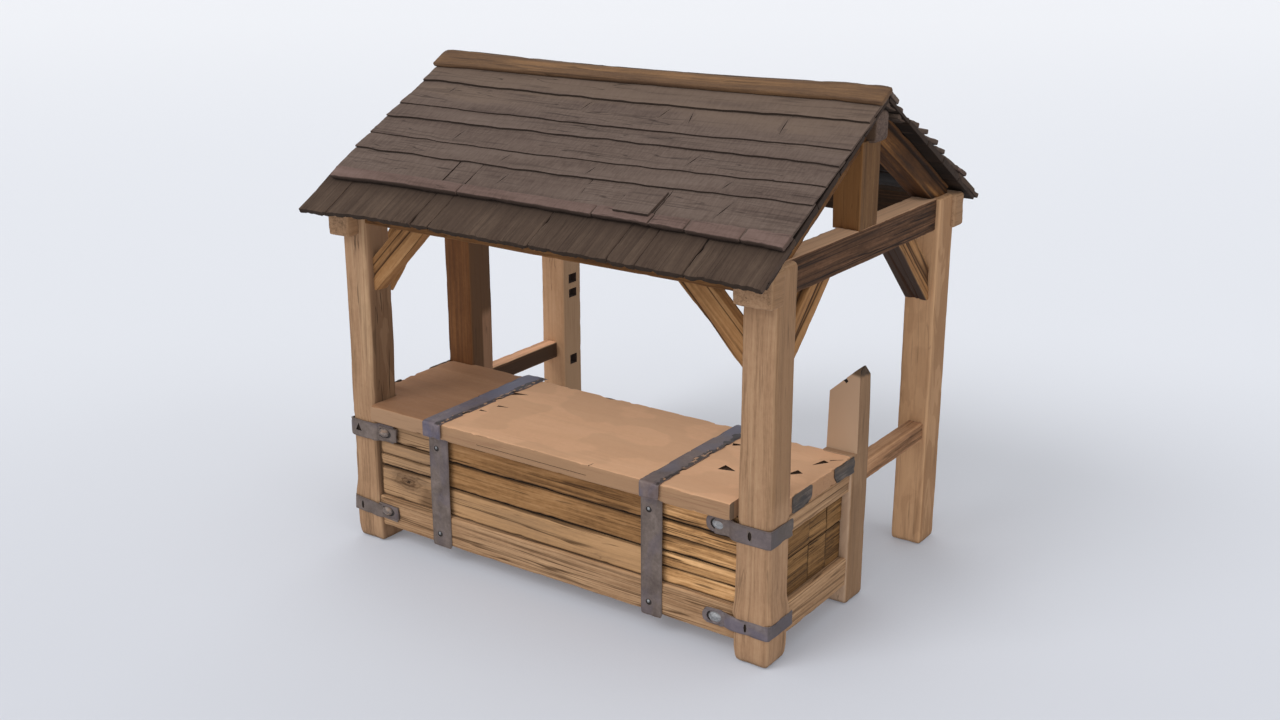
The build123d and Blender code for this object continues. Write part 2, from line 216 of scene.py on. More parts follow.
def weathering_group():
    """Rounded and chipped edges, wavy faces, grooves along the grain, ragged ends.

    It also keeps two attributes for the finish: grain, the place in the timber before it weathered,
    and edge, the distance to the nearest edge.
    """
    kinds = {title: "NodeSocketVector" for title in ("Half", "Seed", "Line")}
    kinds.update({title: "NodeSocketFloat" for title in WEAR if title != "Line"})
    tree, graph, given = new_modifier_group("weathering", kinds)
    place = graph.node("GeometryNodeInputPosition", {}, {})
    x, y, z = graph.parts(place)
    half_x, half_y, half_z = graph.parts(given["Half"])
    seed_x, seed_y, seed_z = graph.parts(given["Seed"])

    def store(geometry, kind, name, value):
        values = {"Geometry": geometry, "Name": name, "Value": value}
        return graph.node("GeometryNodeStoreNamedAttribute", {"data_type": kind}, values)

    def set_position(geometry, **values):
        return graph.node("GeometryNodeSetPosition", {}, {"Geometry": geometry, **values})

    def crowded(across, half):
        share = across / half
        return half * (share + given["Crowd"] * (share * pi).sine())

    def rounded(geometry, inner, radius):
        """Pulls what lies outside an inner block to within a radius of it."""
        core = graph.vector("MINIMUM", graph.vector("MAXIMUM", place, graph.scaled(inner, -1)), inner)
        past = graph.vector("SUBTRACT", place, core)
        reach = graph.vector("LENGTH", past, output=1)
        drawn_in = graph.vector("ADD", core, graph.scaled(past, (radius / reach).least(1)))
        return set_position(geometry, Position=drawn_in)

    near_end = ((half_x - abs(x)) / END_RUN).least(1)
    to_end = given["Crowd"] * END_RUN * (near_end * pi).sine()
    crowd = graph.joined(x + x.math("SIGN") * to_end, crowded(y, half_y), crowded(z, half_z))
    geometry = set_position(given["Geometry"], Position=crowd)

    inward = graph.vector("SUBTRACT", given["Half"], graph.vector("ABSOLUTE", place))
    a, b, c = graph.parts(inward)
    nearest = a + b + c - a.most(b).most(c) - a.least(b).least(c)
    geometry = store(geometry, "FLOAT", "edge", nearest)

    corner = given["Corner"]
    geometry = rounded(geometry, graph.joined(half_x - corner, half_y - corner, half_z), corner)
    radius = given["Radius"]
    inner = graph.vector("SUBTRACT", given["Half"], graph.joined(radius, radius, radius))
    geometry = rounded(geometry, inner, radius)

    grain = graph.vector("ADD", place, given["Seed"])
    geometry = store(geometry, "FLOAT_VECTOR", "grain", grain)

    edge = graph.node("GeometryNodeInputNamedAttribute", {"data_type": "FLOAT"}, {"Name": "edge"})
    normal = graph.node("GeometryNodeInputNormal", {}, {})
    pitch = given["Pitch"]
    waves = given["Waves"] * (graph.noise(grain, (1.6, 6, 6)) - 0.5)
    grooves = given["Grooves"] * (graph.noise(grain, (1.8, 42, 42), 1) - 0.5)
    furrow = furrow_lines(graph, grain, pitch)
    chip_run = given["Chip run"]
    chip = graph.noise(grain, graph.joined(chip_run, 17, 17)).rise(0.5, 0.72) * edge.rise(0.03, 0)
    outward = 2 * waves + 2 * grooves - given["Furrows"] * furrow - given["Chips"] * chip

    line = graph.joined(x * 0.9 + seed_x, seed_y, seed_z)
    bow = graph.noise(line, (1, 1, 1), 1, output=1)
    bow = graph.vector("MULTIPLY", graph.vector("SUBTRACT", bow, (0.5, 0.5, 0.5)), (0, 1, 1))
    bow = graph.scaled(bow, given["Warp"] * 2)
    across = graph.joined(y + seed_y, seed_x, 0)
    end_mask = (x + half_x).rise(0.12, 0)
    end_move = given["Ragged end"] * (graph.noise(across, (16, 1, 1), 3) - 0.5) * end_mask * 2
    lengthwise = graph.joined(x + seed_x, seed_y, 0)
    edge_mask = (y + half_y).rise(0.09, 0)
    edge_move = given["Ragged edge"] * (graph.noise(lengthwise, (5, 1, 1), 3) - 0.5) * 2
    level, lean, curve = graph.parts(given["Line"])
    edge_move = (edge_move - level - lean * x - curve * x * x) * edge_mask

    offset = graph.vector("ADD", graph.scaled(normal, outward), bow)
    offset = graph.vector("ADD", offset, graph.joined(end_move, edge_move, 0))
    geometry = set_position(geometry, Offset=offset)
    close_modifier_group(tree, geometry)
    return tree


def apply_group(piece, tree, values):
    """Runs a geometry node group on the piece as a modifier, and applies it."""
    select_only(piece)
    modifier = piece.modifiers.new(tree.name, "NODES")
    modifier.node_group = tree
    for item in tree.interface.items_tree:
        if item.name in values:
            modifier[item.identifier] = values[item.name]
    bpy.ops.object.modifier_apply(modifier=modifier.name)


# ---- Modelling by hand ----

def select_only(piece):
    if bpy.context.object and bpy.context.object.mode != "OBJECT":
        bpy.ops.object.mode_set(mode="OBJECT")
    bpy.ops.object.select_all(action="DESELECT")
    piece.select_set(True)
    bpy.context.view_layer.objects.active = piece


def pick(piece, kind, wanted):
    """In edit mode, selects the vertices, edges or faces that wanted() accepts."""
    bpy.ops.mesh.select_mode(type={"verts": "VERT", "edges": "EDGE", "faces": "FACE"}[kind])
    bpy.ops.mesh.select_all(action="DESELECT")
    shape = bmesh.from_edit_mesh(piece.data)
    for element in getattr(shape, kind):
        if wanted(element):
            element.select_set(True)
    shape.select_flush_mode()
    bmesh.update_edit_mesh(piece.data)


def named(piece, name):
    piece.name = name
    piece.data.name = name
    return piece


def block(name, size):
    """A squared timber or plate about the origin."""
    bpy.ops.object.select_all(action="DESELECT")
    bpy.ops.mesh.primitive_cube_add(size=1, scale=size)
    bpy.ops.object.transform_apply(location=False, rotation=False, scale=True)
    return named(bpy.context.object, name)


def divide(piece, size, steps):
    """Cuts a block into cells of about the steps along x, y and z."""
    bpy.ops.object.mode_set(mode="EDIT")
    for axis in range(3):
        cuts = ceil(size[axis] / steps[axis]) - 1
        if cuts < 1:
            continue

        def lies_along(edge):
            run = edge.verts[1].co - edge.verts[0].co
            return abs(run[axis]) > 0.999 * run.length

        pick(piece, "edges", lies_along)
        bpy.ops.mesh.subdivide(number_cuts=cuts)
    bpy.ops.object.mode_set(mode="OBJECT")


def place(piece, matrix):
    """Moves the piece and leaves its object at the origin."""
    select_only(piece)
    piece.matrix_world = matrix
    bpy.ops.object.transform_apply(location=True, rotation=True, scale=True)
    return piece


def directed(centre, along, up):
    """The place of a piece made along x with z up, laid along another direction."""
    x = Vector(along).normalized()
    y = Vector(up).cross(x).normalized()
    z = x.cross(y)
    return Matrix.Translation(centre) @ Matrix((x, y, z)).transposed().to_4x4()


def weather(piece, size, **wear):
    amounts = {
        **WEAR,
        "Half": [side / 2 for side in size],
        "Seed": [dice.uniform(-40, 40) for axis in range(3)],
    }
    amounts.update({title.replace("_", " "): amount for title, amount in wear.items()})
    apply_group(piece, weathering, amounts)
    return piece


def worn_block(name, size, step, finish, **wear):
    """A block cut into cells and weathered: the start of every plank, timber and plate."""
    piece = block(name, size)
    divide(piece, size, step if isinstance(step, tuple) else (1.7 * step, step, step))
    piece.data.materials.append(finish)
    return weather(piece, size, **wear)


AXES = [Vector(EAST), Vector(NORTH), Vector(UP)]
TIMBER_STEP = 0.0105  # the width of the cells that most timbers are cut into


def timber(name, box, axis, finish, step=TIMBER_STEP, **wear):
    """A squared timber that fills a box, with its grain along one of the axes."""
    low, high = map(Vector, box)
    size = high - low
    order = [axis, (axis + 1) % 3, (axis + 2) % 3]
    piece = worn_block(name, [size[i] for i in order], step, finish, **wear)
    return place(piece, directed((low + high) / 2, AXES[order[0]], AXES[order[2]]))


def join(name, pieces):
    select_only(pieces[0])
    for piece in pieces:
        piece.select_set(True)
    if len(pieces) > 1:
        bpy.ops.object.join()
    return named(bpy.context.object, name)


def cut_away(piece, cutter, finish):
    """Takes one shape out of another; the cut faces have a finish of their own."""
    cutter.data.materials.clear()
    cutter.data.materials.append(finish)
    select_only(piece)
    modifier = piece.modifiers.new("cut", "BOOLEAN")
    modifier.operation = "DIFFERENCE"
    modifier.solver = "MANIFOLD"
    modifier.material_mode = "TRANSFER"
    modifier.object = cutter
    bpy.ops.object.modifier_apply(modifier="cut")
    bpy.data.objects.remove(cutter)


def box_cutter(low, high):
    low, high = Vector(low), Vector(high)
    cutter = block("cutter", high - low)
    return place(cutter, Matrix.Translation((low + high) / 2))


def prism_cutter(centre, normal, up, corners, width, height, depth):
    """A cutter with so many corners that goes as deep as depth into a face."""
    bpy.ops.object.select_all(action="DESELECT")
    bpy.ops.mesh.primitive_cylinder_add(vertices=corners, radius=0.5, depth=1)
    cutter = bpy.context.object
    z = Vector(normal).normalized()
    x = Vector(up).cross(z).normalized()
    turned = Matrix((x, z.cross(x), z)).transposed().to_4x4()
    sized = turned @ Matrix.Diagonal((width, height, 2 * depth, 1))
    return place(cutter, Matrix.Translation(centre) @ sized)


def gouge(piece, centre, length, width, depth, turn):
    """Takes a splinter out of a top face: deep and blunt at one end, pointed at the other."""
    turn = radians(turn)
    slope = atan(2 * depth / length)
    lengthwise = Vector((cos(turn), sin(turn), 0))
    normal = Vector((0, 0, cos(slope))) - sin(slope) * lengthwise
    cutter = prism_cutter(centre, normal, lengthwise, 3, width, length, depth)
    cut_away(piece, cutter, splintered_wood)


def soften(piece, width):
    """Takes the sharpness off sawn and broken edges."""
    select_only(piece)
    modifier = piece.modifiers.new("soften", "BEVEL")
    modifier.width = width
    modifier.segments = 2
    modifier.limit_method = "ANGLE"
    modifier.angle_limit = radians(38)
    bpy.ops.object.modifier_apply(modifier="soften")


def saw_off(piece, *planes):
    """Saws the piece at planes, each a point and a normal, and drops what lies beyond them."""
    select_only(piece)
    bpy.ops.object.mode_set(mode="EDIT")
    for point, normal in planes:
        bpy.ops.mesh.select_all(action="SELECT")
        bpy.ops.mesh.bisect(plane_co=point, plane_no=normal, use_fill=True, clear_outer=True)
    bpy.ops.object.mode_set(mode="OBJECT")


def fold(piece, at, turn, thickness, side=1):
    """Bends flat iron round its underside in three small steps, beyond x = at on one side."""
    bend_step = 0.004
    steps = []
    for step in range(3):
        place_x = at + side * bend_step * step
        steps.append((place_x, {v.index for v in piece.data.vertices if side * (v.co.x - place_x) > 0}))
    select_only(piece)
    bpy.ops.object.mode_set(mode="EDIT")
    for place_x, beyond in reversed(steps):
        pick(piece, "verts", lambda vertex: vertex.index in beyond)
        centre = (place_x, 0, -thickness / 2)
        angle = -side * turn / 3
        bpy.ops.transform.rotate(value=angle, orient_axis="Y", orient_type="GLOBAL", center_override=centre)
    bpy.ops.object.mode_set(mode="OBJECT")


def hand_over(piece, node):
    """Shades the piece, sharp where faces meet at more than 58 degrees, and sets it in place of a node."""
    select_only(piece)
    bpy.ops.object.shade_smooth_by_angle(angle=radians(58))
    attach(piece, "root")
    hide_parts(node)


# ---- Finishes ----

UNDER_BRACE = (0.0, -0.707, -0.707)
roof_pitch = radians(31.5)


def paint(red, green, blue):
    """A colour given as on a colour card, from 0 to 255, as linear light."""
    def linear(level):
        level = level / 255
        return level / 12.92 if level <= 0.04045 else ((level + 0.055) / 1.055) ** 2.4
    return (linear(red), linear(green), linear(blue), 1)


def shade(colour, factor):
    return tuple(min(1, factor * level) for level in colour[:3]) + (1,)


def new_finish(name):
    material = bpy.data.materials.new(name)
    material.use_nodes = True
    return material, Graph(material.node_tree), material.node_tree.nodes["Principled BSDF"]


def wire(graph, surface, values):
    for socket, value in values.items():
        if isinstance(value, Value):
            graph.tree.links.new(value.socket, surface.inputs[socket])
        else:
            surface.inputs[socket].default_value = value


def looking(graph, direction):
    """How far a face looks in a direction, from -1 to 1."""
    normal = graph.node("ShaderNodeNewGeometry", {}, {}, 1)
    return graph.vector("DOT_PRODUCT", normal, direction, output=1)


def somewhere(graph):
    return graph.parts(graph.node("ShaderNodeTexCoord", {}, {}, 3))


def attribute(graph, name, output):
    return graph.node("ShaderNodeAttribute", {"attribute_name": name}, {}, output)


def wood(name, dark, middle, light, broad=1.0, fine=1.0, lines=0.5, line_pitch=30, cracks=0.5,
         slits=0.0, wear=0.25, rim=0.0, corner_dirt_and_shade=0.6, hollows=0.0, pitch=16, hatch=0.0, blotch=0.0,
         smooth_top=0.0, rough=0.8, stain=None):
    """Weathered timber whose pattern follows the grain attribute.

    broad and fine set how much the tone varies in patches and in streaks. Lines, cracks, slits and hollows
    are dark and follow the grain; hatch runs across it. Wear is bare wood along the edges. Rim is grime
    together with painted shade along the edges, and the corner darkening is dirt together with painted shade
    in corners and crevices. A smooth top hides the grain on faces that look up.
    """
    material, graph, surface = new_finish(name)
    grain = attribute(graph, "grain", 1)
    edge = attribute(graph, "edge", 2)
    plain = 1.0
    if smooth_top:
        plain = 1 - smooth_top * looking(graph, UP).rise(0.5, 0.9)

    wobble = graph.noise(grain, (1.3, 5, 5), 2, output=1)
    wobble = graph.scaled(graph.vector("SUBTRACT", wobble, (0.5, 0.5, 0.5)), 0.03)
    bent = graph.vector("ADD", grain, wobble)
    patches = graph.noise(bent, (1.3, 8, 8), 3, 0.5, 0.3)
    streak = graph.noise(bent, (1.1, 55, 55), 3, 0.6)
    fibre = graph.noise(grain, (12, 190, 190), 2, 0.6)
    mottle = graph.noise(grain, (30, 45, 45), 3, 0.65)
    detail = 0.9 * (streak - 0.5) + 0.4 * (fibre - 0.5)
    tone = 0.5 + broad * (patches - 0.5) + 0.25 * (mottle - 0.5) + detail * fine * plain
    if hatch:
        tone = tone + hatch * (graph.noise(grain, (75, 12, 75), 2, 0.6) - 0.5)
    colour = graph.ramp(tone, dark, middle, light)
    if stain:
        colour = stain(graph, colour, patches)
    if blotch:
        area = graph.noise(grain, (2.4, 9, 9), 2, 0.5, 1.2)
        colour = graph.mix(area.rise(0.52, 0.57) * blotch * 0.4, colour, shade(light, 1.2))
        colour = graph.mix(area.rise(0.44, 0.40) * blotch * 0.4, colour, dark)

    seam = abs(graph.noise(bent, (0.4, line_pitch, line_pitch), 2, 0.55) - 0.5)
    seam = seam.rise(0.03, 0.004) * graph.noise(grain, (1.4, 14, 14), 1).rise(0.4, 0.56) * plain * lines
    colour = graph.mix(seam, colour, shade(dark, 0.5))
    split = abs(graph.noise(bent, (0.8, 15, 15), 2, 0.6) - 0.5)
    split = split.rise(0.010, 0.002) * graph.noise(grain, (1.1, 4, 4), 1).rise(0.5, 0.6) * plain * cracks
    colour = graph.mix(split, colour, shade(dark, 0.25))
    if slits:
        slit = graph.noise(grain, (3.4, 44, 44), 1).rise(0.68, 0.78) * slits
        colour = graph.mix(slit, colour, shade(dark, 0.4))
    if hollows:
        colour = graph.mix(furrow_lines(graph, grain, pitch) * hollows * plain, colour, shade(dark, 0.35))
    worn = (edge + 0.02 * (streak - 0.5)).rise(0.012, 0.001) * wear
    colour = graph.mix(worn, colour, shade(light, 1.15))
    if rim:
        # painted shade together with grime: darker along the edges and between boards
        edge_grime_and_shade = (edge + 0.02 * (patches - 0.5)).rise(0.013, 0.001) * rim
        colour = graph.mix(edge_grime_and_shade, colour, shade(dark, 0.55))
    # painted shade together with dirt: darker in corners, joints and under overhangs, where other surfaces
    # stand within 6 cm
    colour = graph.mix(graph.openness(0.06).rise(0.68, 0.15) * corner_dirt_and_shade, colour, shade(dark, 0.3))

    height = (0.5 * streak + 0.2 * fibre + 0.15 * mottle) * plain - 0.6 * seam - 0.9 * split
    wire(graph, surface, {
        "Base Color": colour,
        "Roughness": rough + 0.3 * (streak - 0.5),
        "Normal": graph.bump(0.004, height),
        "Specular IOR Level": 0.2,
    })
    return material


def iron(name, dark, middle, light, tint, tinted=0.6, streaks=0.0, size=1.0, stain=None):
    """Forged iron, dull, with worn edges and bluish or rusty patches; size is how fine these are."""
    material, graph, surface = new_finish(name)
    grain = attribute(graph, "grain", 1)
    edge = attribute(graph, "edge", 2)
    cloud = graph.noise(grain, (9 * size, 9 * size, 9 * size), 4, 0.6, 0.4)
    speck = graph.noise(grain, (60, 60, 60), 3, 0.65)
    patch = graph.noise(grain, (4 * size, 7 * size, 7 * size), 2, 0.5, 0.5)
    tone = 0.5 + 1.3 * (cloud - 0.5) + 0.6 * (speck - 0.5)
    if streaks:
        tone = tone + streaks * (graph.noise(grain, (5, 110, 5), 2, 0.6, 0.5) - 0.5)
    colour = graph.ramp(tone, dark, middle, light)
    colour = graph.mix(patch.rise(0.5, 0.66) * tinted, colour, tint)
    if stain:
        colour = stain(graph, colour, cloud)
    rim = (edge + 0.012 * (cloud - 0.5)).rise(0.012, 0.004)
    colour = graph.mix(rim * 0.35, colour, shade(dark, 0.6))
    worn = (edge + 0.006 * (speck - 0.5)).rise(0.004, 0.0005)
    colour = graph.mix(worn * 0.4, colour, light)
    # painted shade: darker in crevices, where other parts stand within 3 cm
    colour = graph.mix(graph.openness(0.03).rise(0.6, 0.15) * 0.7, colour, shade(dark, 0.3))
    wire(graph, surface, {
        "Base Color": colour,
        "Roughness": 0.6 + 0.3 * (cloud - 0.5),
        "Metallic": 0.3,
        "Normal": graph.bump(0.003, cloud + 0.4 * speck),
    })
    return material


def burnt_peak_and_painted_light(graph, colour, patches):
    """The broken post's front face is painted lighter as light and its outer side darker as shade; it is
    charred at its peak.
    """
    x, y, z = somewhere(graph)
    # painted light on faces looking south, painted shade on faces looking east
    colour = graph.mix(looking(graph, SOUTH).rise(0.55, 0.8), colour, paint(186, 156, 130))
    colour = graph.mix(looking(graph, EAST).rise(0.55, 0.8) * 0.5, colour, paint(126, 97, 70))
    burnt = (z + 0.10 * (patches - 0.5) + 0.15 * (x - 1.44)).rise(1.385, 1.41)
    return graph.mix(burnt, colour, paint(44, 33, 25))


def sides(*stained):
    """Colours faces by the direction they look in, (direction, colour, share): painted light and shade by
    face direction.
    """
    def stain(graph, colour, patches):
        for direction, tint, share in stained:
            colour = graph.mix(looking(graph, direction).rise(0.55, 0.8) * share, colour, tint)
        return colour
    return stain


def board_rows(graph, colour, patches):
    """The upper boards are darker, painted shade under the worktop's overhang; the lowest are pale, and a
    knot sits in the widest board of the left bay.
    """
    x, y, z = somewhere(graph)
    # painted shade: the rows above the lowest are darker, the top row most
    colour = graph.mix(z.rise(0.49, 0.505) * 0.14 + z.rise(0.66, 0.68) * 0.14, colour, paint(92, 60, 30))
    colour = graph.mix(z.rise(0.505, 0.49) * x.rise(-0.82, -0.78) * 0.45, colour, paint(196, 158, 118))
    colour = graph.mix(x.rise(-0.78, -0.82) * 0.45, colour, paint(180, 150, 120))
    rings_to_the_metre = 48
    swirl = graph.noise(graph.joined(x, y, z), (9, 9, 22), 3, 0.6) - 0.5
    knot = graph.distance((x + 1.083) * 0.5, 0, z - 0.455) + 0.09 * swirl
    rings = (knot * (2 * pi * rings_to_the_metre)).sine() * 0.5 + 0.5
    colour = graph.mix(knot.rise(0.10, 0.01) * (0.5 + 0.35 * rings), colour, paint(66, 42, 24))
    corner = graph.distance((x + 0.90) * 0.7, 0, z - 0.355) + 0.12 * swirl
    colour = graph.mix(corner.rise(0.13, 0.02) * 0.6, colour, paint(70, 45, 25))
    return graph.mix(knot.rise(0.018, 0.010) * 0.8, colour, paint(44, 29, 18))


def outer_side_painted_shade(graph, colour, patches):
    """Painted shade: the outer side of the right front post is darker and browner above the worktop."""
    x, y, z = somewhere(graph)
    handled = looking(graph, EAST).rise(0.5, 0.8) * z.rise(0.88, 1.0)
    return graph.mix(handled * 0.55, colour, paint(138, 105, 75))


def inner_side_painted_shade(graph, colour, patches):
    """Painted shade on the inner side of the left front post, more so lower down, with painted light in
    patches high up.
    """
    x, y, z = somewhere(graph)
    facing = looking(graph, EAST).rise(0.45, 0.85)
    colour = graph.mix(facing * 0.92, colour, paint(110, 82, 60))
    pale = (z + 0.4 * (patches - 0.5)).rise(1.62, 1.9)
    return graph.mix(facing * pale * 0.55, colour, paint(150, 116, 88))


def below_lip(graph, colour, patches):
    """Painted shade darkens the eave boards under the lip, and their butts are shaded too."""
    x, y, z = somewhere(graph)
    colour = graph.mix((z + 0.05 * (patches - 0.5)).rise(2.255, 2.33) * 0.6, colour, paint(54, 42, 35))
    return butt_painted_shade(graph, colour, patches)


def flaked(edge_x, blue_from):
    """Iron bitten and dark along its right edge, partly wear and partly painted shade, with flecks of wood,
    and bluer towards the back.
    """
    def stain(graph, colour, cloud):
        x, y, z = somewhere(graph)
        top = looking(graph, UP).rise(0.5, 0.8)
        bluish = top * (y + 0.3 * (cloud - 0.5)).rise(blue_from, blue_from + 0.3)
        colour = graph.mix(bluish * 0.6, colour, paint(84, 92, 120))
        bitten_and_shaded = (x + 0.14 * (cloud - 0.5)).rise(edge_x - 0.038, edge_x - 0.028) * top
        flecks = graph.noise(graph.joined(x, y, z), (60, 24, 60), 2).rise(0.58, 0.62)
        # painted shade together with worn iron along the right edge
        colour = graph.mix(bitten_and_shaded * 0.85, colour, paint(54, 46, 44))
        return graph.mix(bitten_and_shaded * flecks, colour, paint(178, 138, 106))
    return stain


# painted shade: iron faces looking east are darker
def iron_east_painted_shade(graph, colour, cloud):
    return graph.mix(looking(graph, EAST).rise(0.5, 0.8) * 0.5, colour, paint(70, 63, 59))


def worn_back_edge_and_east_shade(graph, colour, patches):
    """The left mid post has painted shade on its inner side, and is rubbed bare up its back to shoulder
    height.
    """
    x, y, z = somewhere(graph)
    facing = looking(graph, EAST).rise(0.55, 0.8)
    colour = graph.mix(facing * 0.85, colour, paint(90, 66, 46))
    bare = y.rise(-0.045, -0.03) * (z + 0.12 * (patches - 0.5)).rise(1.30, 1.22)
    return graph.mix(facing * bare * 0.8, colour, paint(150, 114, 88))


def roof_stain(graph, colour, patches):
    """Browner near the ridge, greyer and faintly purple lower down."""
    x, y, z = somewhere(graph)
    brown = (z + 0.4 * (patches - 0.5)).rise(2.70, 2.86) * 0.5
    colour = graph.mix(brown, colour, paint(112, 94, 80))
    return butt_painted_shade(graph, colour, patches)


def butt_painted_shade(graph, colour, patches):
    """Painted shade: the lower ends and undersides of roof boards are near black, and board ends that look
    along the roof are darker.
    """
    x, y, z = graph.parts(graph.node("ShaderNodeNewGeometry", {}, {}, 3))
    butt_shade = (abs(y) * cos(roof_pitch) - z * sin(roof_pitch)).rise(0.5, 0.8)
    colour = graph.mix(butt_shade * 0.85, colour, paint(46, 36, 29))
    return graph.mix(abs(x).rise(0.6, 0.85) * 0.7, colour, paint(80, 64, 54))


# painted shade: the worktop's right end and front edge are darker than its top
worktop_side_painted_shade = sides((EAST, paint(154, 116, 84), 0.8), (SOUTH, paint(139, 109, 81), 0.8))


def cut_end(graph, colour, patches):
    """Broad tan patches on top; painted shade on the end of the overhang beside a post and on the front and
    right edges.
    """
    x, y, z = somewhere(graph)
    spots = graph.noise(graph.joined(x, y, z), (2.3, 3.1, 2.3), 2, 0.45)
    colour = graph.mix(spots.rise(0.47, 0.53) * 0.4, colour, paint(196, 154, 120))
    end = looking(graph, EAST).rise(0.5, 0.7) * y.rise(-1.035, -1.045)
    return graph.mix(end, worktop_side_painted_shade(graph, colour, patches), paint(96, 82, 68))


post_colours = paint(117, 90, 64), paint(161, 126, 96), paint(180, 147, 114)
post_wood = wood("post_wood", *post_colours, broad=0.7, fine=0.9, lines=0.3, slits=0.5, cracks=0.3,
                 stain=outer_side_painted_shade)
# the left front post: the post's wood with painted shade on its inner side
post_wood_with_painted_shade = wood("post_wood_with_painted_shade", *post_colours, broad=0.8, fine=0.8, lines=0.3, cracks=0.8,
                         slits=0.5, blotch=0.3, stain=inner_side_painted_shade)
# the right rear post: painted shade on its east face and painted light on its front face
greyed_post_wood = wood("greyed_post_wood", paint(142, 105, 73), paint(177, 137, 100), paint(201, 162, 124),
                        broad=0.8, fine=0.6, lines=0.25, cracks=0.2, slits=0.3, blotch=0.5,
                        stain=sides((EAST, paint(145, 109, 78), 0.6), (SOUTH, paint(206, 164, 126), 0.5)))
# the left rear post: painted shade on its east face
pocketed_wood = wood("pocketed_wood", paint(146, 108, 78), paint(176, 137, 103), paint(195, 157, 124),
                     broad=0.7, fine=0.45, lines=0.2, stain=sides((EAST, paint(153, 123, 95), 0.9)))
broken_wood = wood("broken_wood", paint(115, 87, 64), paint(149, 117, 89), paint(167, 136, 107), broad=0.6,
                   fine=0.7, lines=0.3, blotch=0.3, stain=burnt_peak_and_painted_light)
brown_wood = wood("brown_wood", paint(71, 42, 20), paint(98, 62, 34), paint(124, 83, 49), fine=0.6,
                  lines=0.3, stain=worn_back_edge_and_east_shade)
plate_wood = wood("plate_wood", paint(60, 36, 18), paint(106, 70, 38), paint(140, 100, 60))
# the rear plate: a darker copy of the plate's wood, painted shade
plate_wood_in_painted_shade = wood("plate_wood_in_painted_shade", paint(30, 20, 13), paint(52, 36, 24), paint(84, 60, 42))
rail_wood = wood("rail_wood", paint(122, 89, 60), paint(163, 128, 95), paint(192, 155, 118), broad=0.6,
                 lines=0.9, line_pitch=24, hollows=0.5, pitch=24, cracks=0.2)
side_rail_wood = wood("side_rail_wood", paint(110, 75, 49), paint(162, 120, 86), paint(195, 152, 115),
                      lines=0.6, fine=0.8)
# the left side rail: painted lighter to offset the roof's shade, with painted shade on its inner east face
rail_wood_painted_light_and_shade = wood("rail_wood_painted_light_and_shade", paint(162, 118, 88), paint(216, 164, 128), paint(252, 198, 156),
                        stain=sides((EAST, paint(64, 44, 29), 1.0)), fine=0.6)
board_wood = wood("board_wood", paint(87, 57, 29), paint(154, 113, 71), paint(190, 146, 101), broad=0.8,
                  fine=1.1, lines=0.8, line_pitch=34, cracks=0.3, slits=0.6, wear=0.1, rim=0.75, corner_dirt_and_shade=0.95,
                  stain=board_rows)
dark_board_wood = wood("dark_board_wood", paint(72, 45, 20), paint(183, 137, 89), paint(229, 181, 128),
                       broad=1.1, fine=1.2, lines=0.9, line_pitch=30, cracks=0.4, slits=0.6, wear=0.1,
                       rim=0.7, corner_dirt_and_shade=0.95)
end_board_wood = wood("end_board_wood", paint(62, 40, 18), paint(121, 87, 50), paint(158, 119, 75),
                      broad=0.7, fine=1.2, lines=1.0, line_pitch=46, cracks=0.3, slits=0.4, wear=0.1,
                      rim=0.4, corner_dirt_and_shade=0.95)
# painted light: the tie's top face is much paler than its sides
tie_wood = wood("tie_wood", paint(44, 27, 15), paint(78, 52, 33), paint(122, 88, 64), broad=0.6, fine=1.0,
                lines=0.9, line_pitch=26, cracks=0.4, hollows=0.7, pitch=27, smooth_top=0.8,
                stain=sides((UP, paint(207, 166, 132), 0.95)))
brace_colours = paint(96, 59, 30), paint(150, 108, 67), paint(184, 142, 98)
brace_wood = wood("brace_wood", *brace_colours, broad=0.6, fine=0.7, lines=0.3, hollows=0.95, pitch=14,
                  cracks=0.2)
# the rear braces: the brace wood with painted shade on its underside
brace_wood_with_painted_shade = wood("brace_wood_with_painted_shade", *brace_colours, broad=0.6, fine=0.7, lines=0.3, hollows=0.95,
                       pitch=14, stain=sides((UNDER_BRACE, paint(60, 50, 46), 0.95)))
# painted light: the king posts' front faces are lighter and more orange
king_wood = wood("king_wood", paint(80, 53, 29), paint(104, 74, 46), paint(127, 95, 63), broad=0.6, fine=0.8,
                 lines=0.4, stain=sides((SOUTH, paint(135, 92, 51), 0.6)))
rafter_wood = wood("rafter_wood", paint(45, 24, 7), paint(85, 53, 23), paint(141, 97, 53), broad=1.3,
                   fine=0.8, hollows=0.9, pitch=9, cracks=0.2)
# painted shade: the ridge beam's front face is darker
beam_wood = wood("beam_wood", paint(70, 56, 49), paint(94, 77, 68), paint(116, 98, 87), broad=0.6,
                 stain=sides((SOUTH, paint(74, 55, 40), 0.9)))
worktop_colours = paint(197, 150, 115), paint(217, 170, 133), paint(228, 184, 147)
worktop_wood = wood("worktop_wood", *worktop_colours, broad=0.3, lines=0.6, fine=0.8, cracks=0.2,
                    smooth_top=0.92, wear=0.06, stain=cut_end)
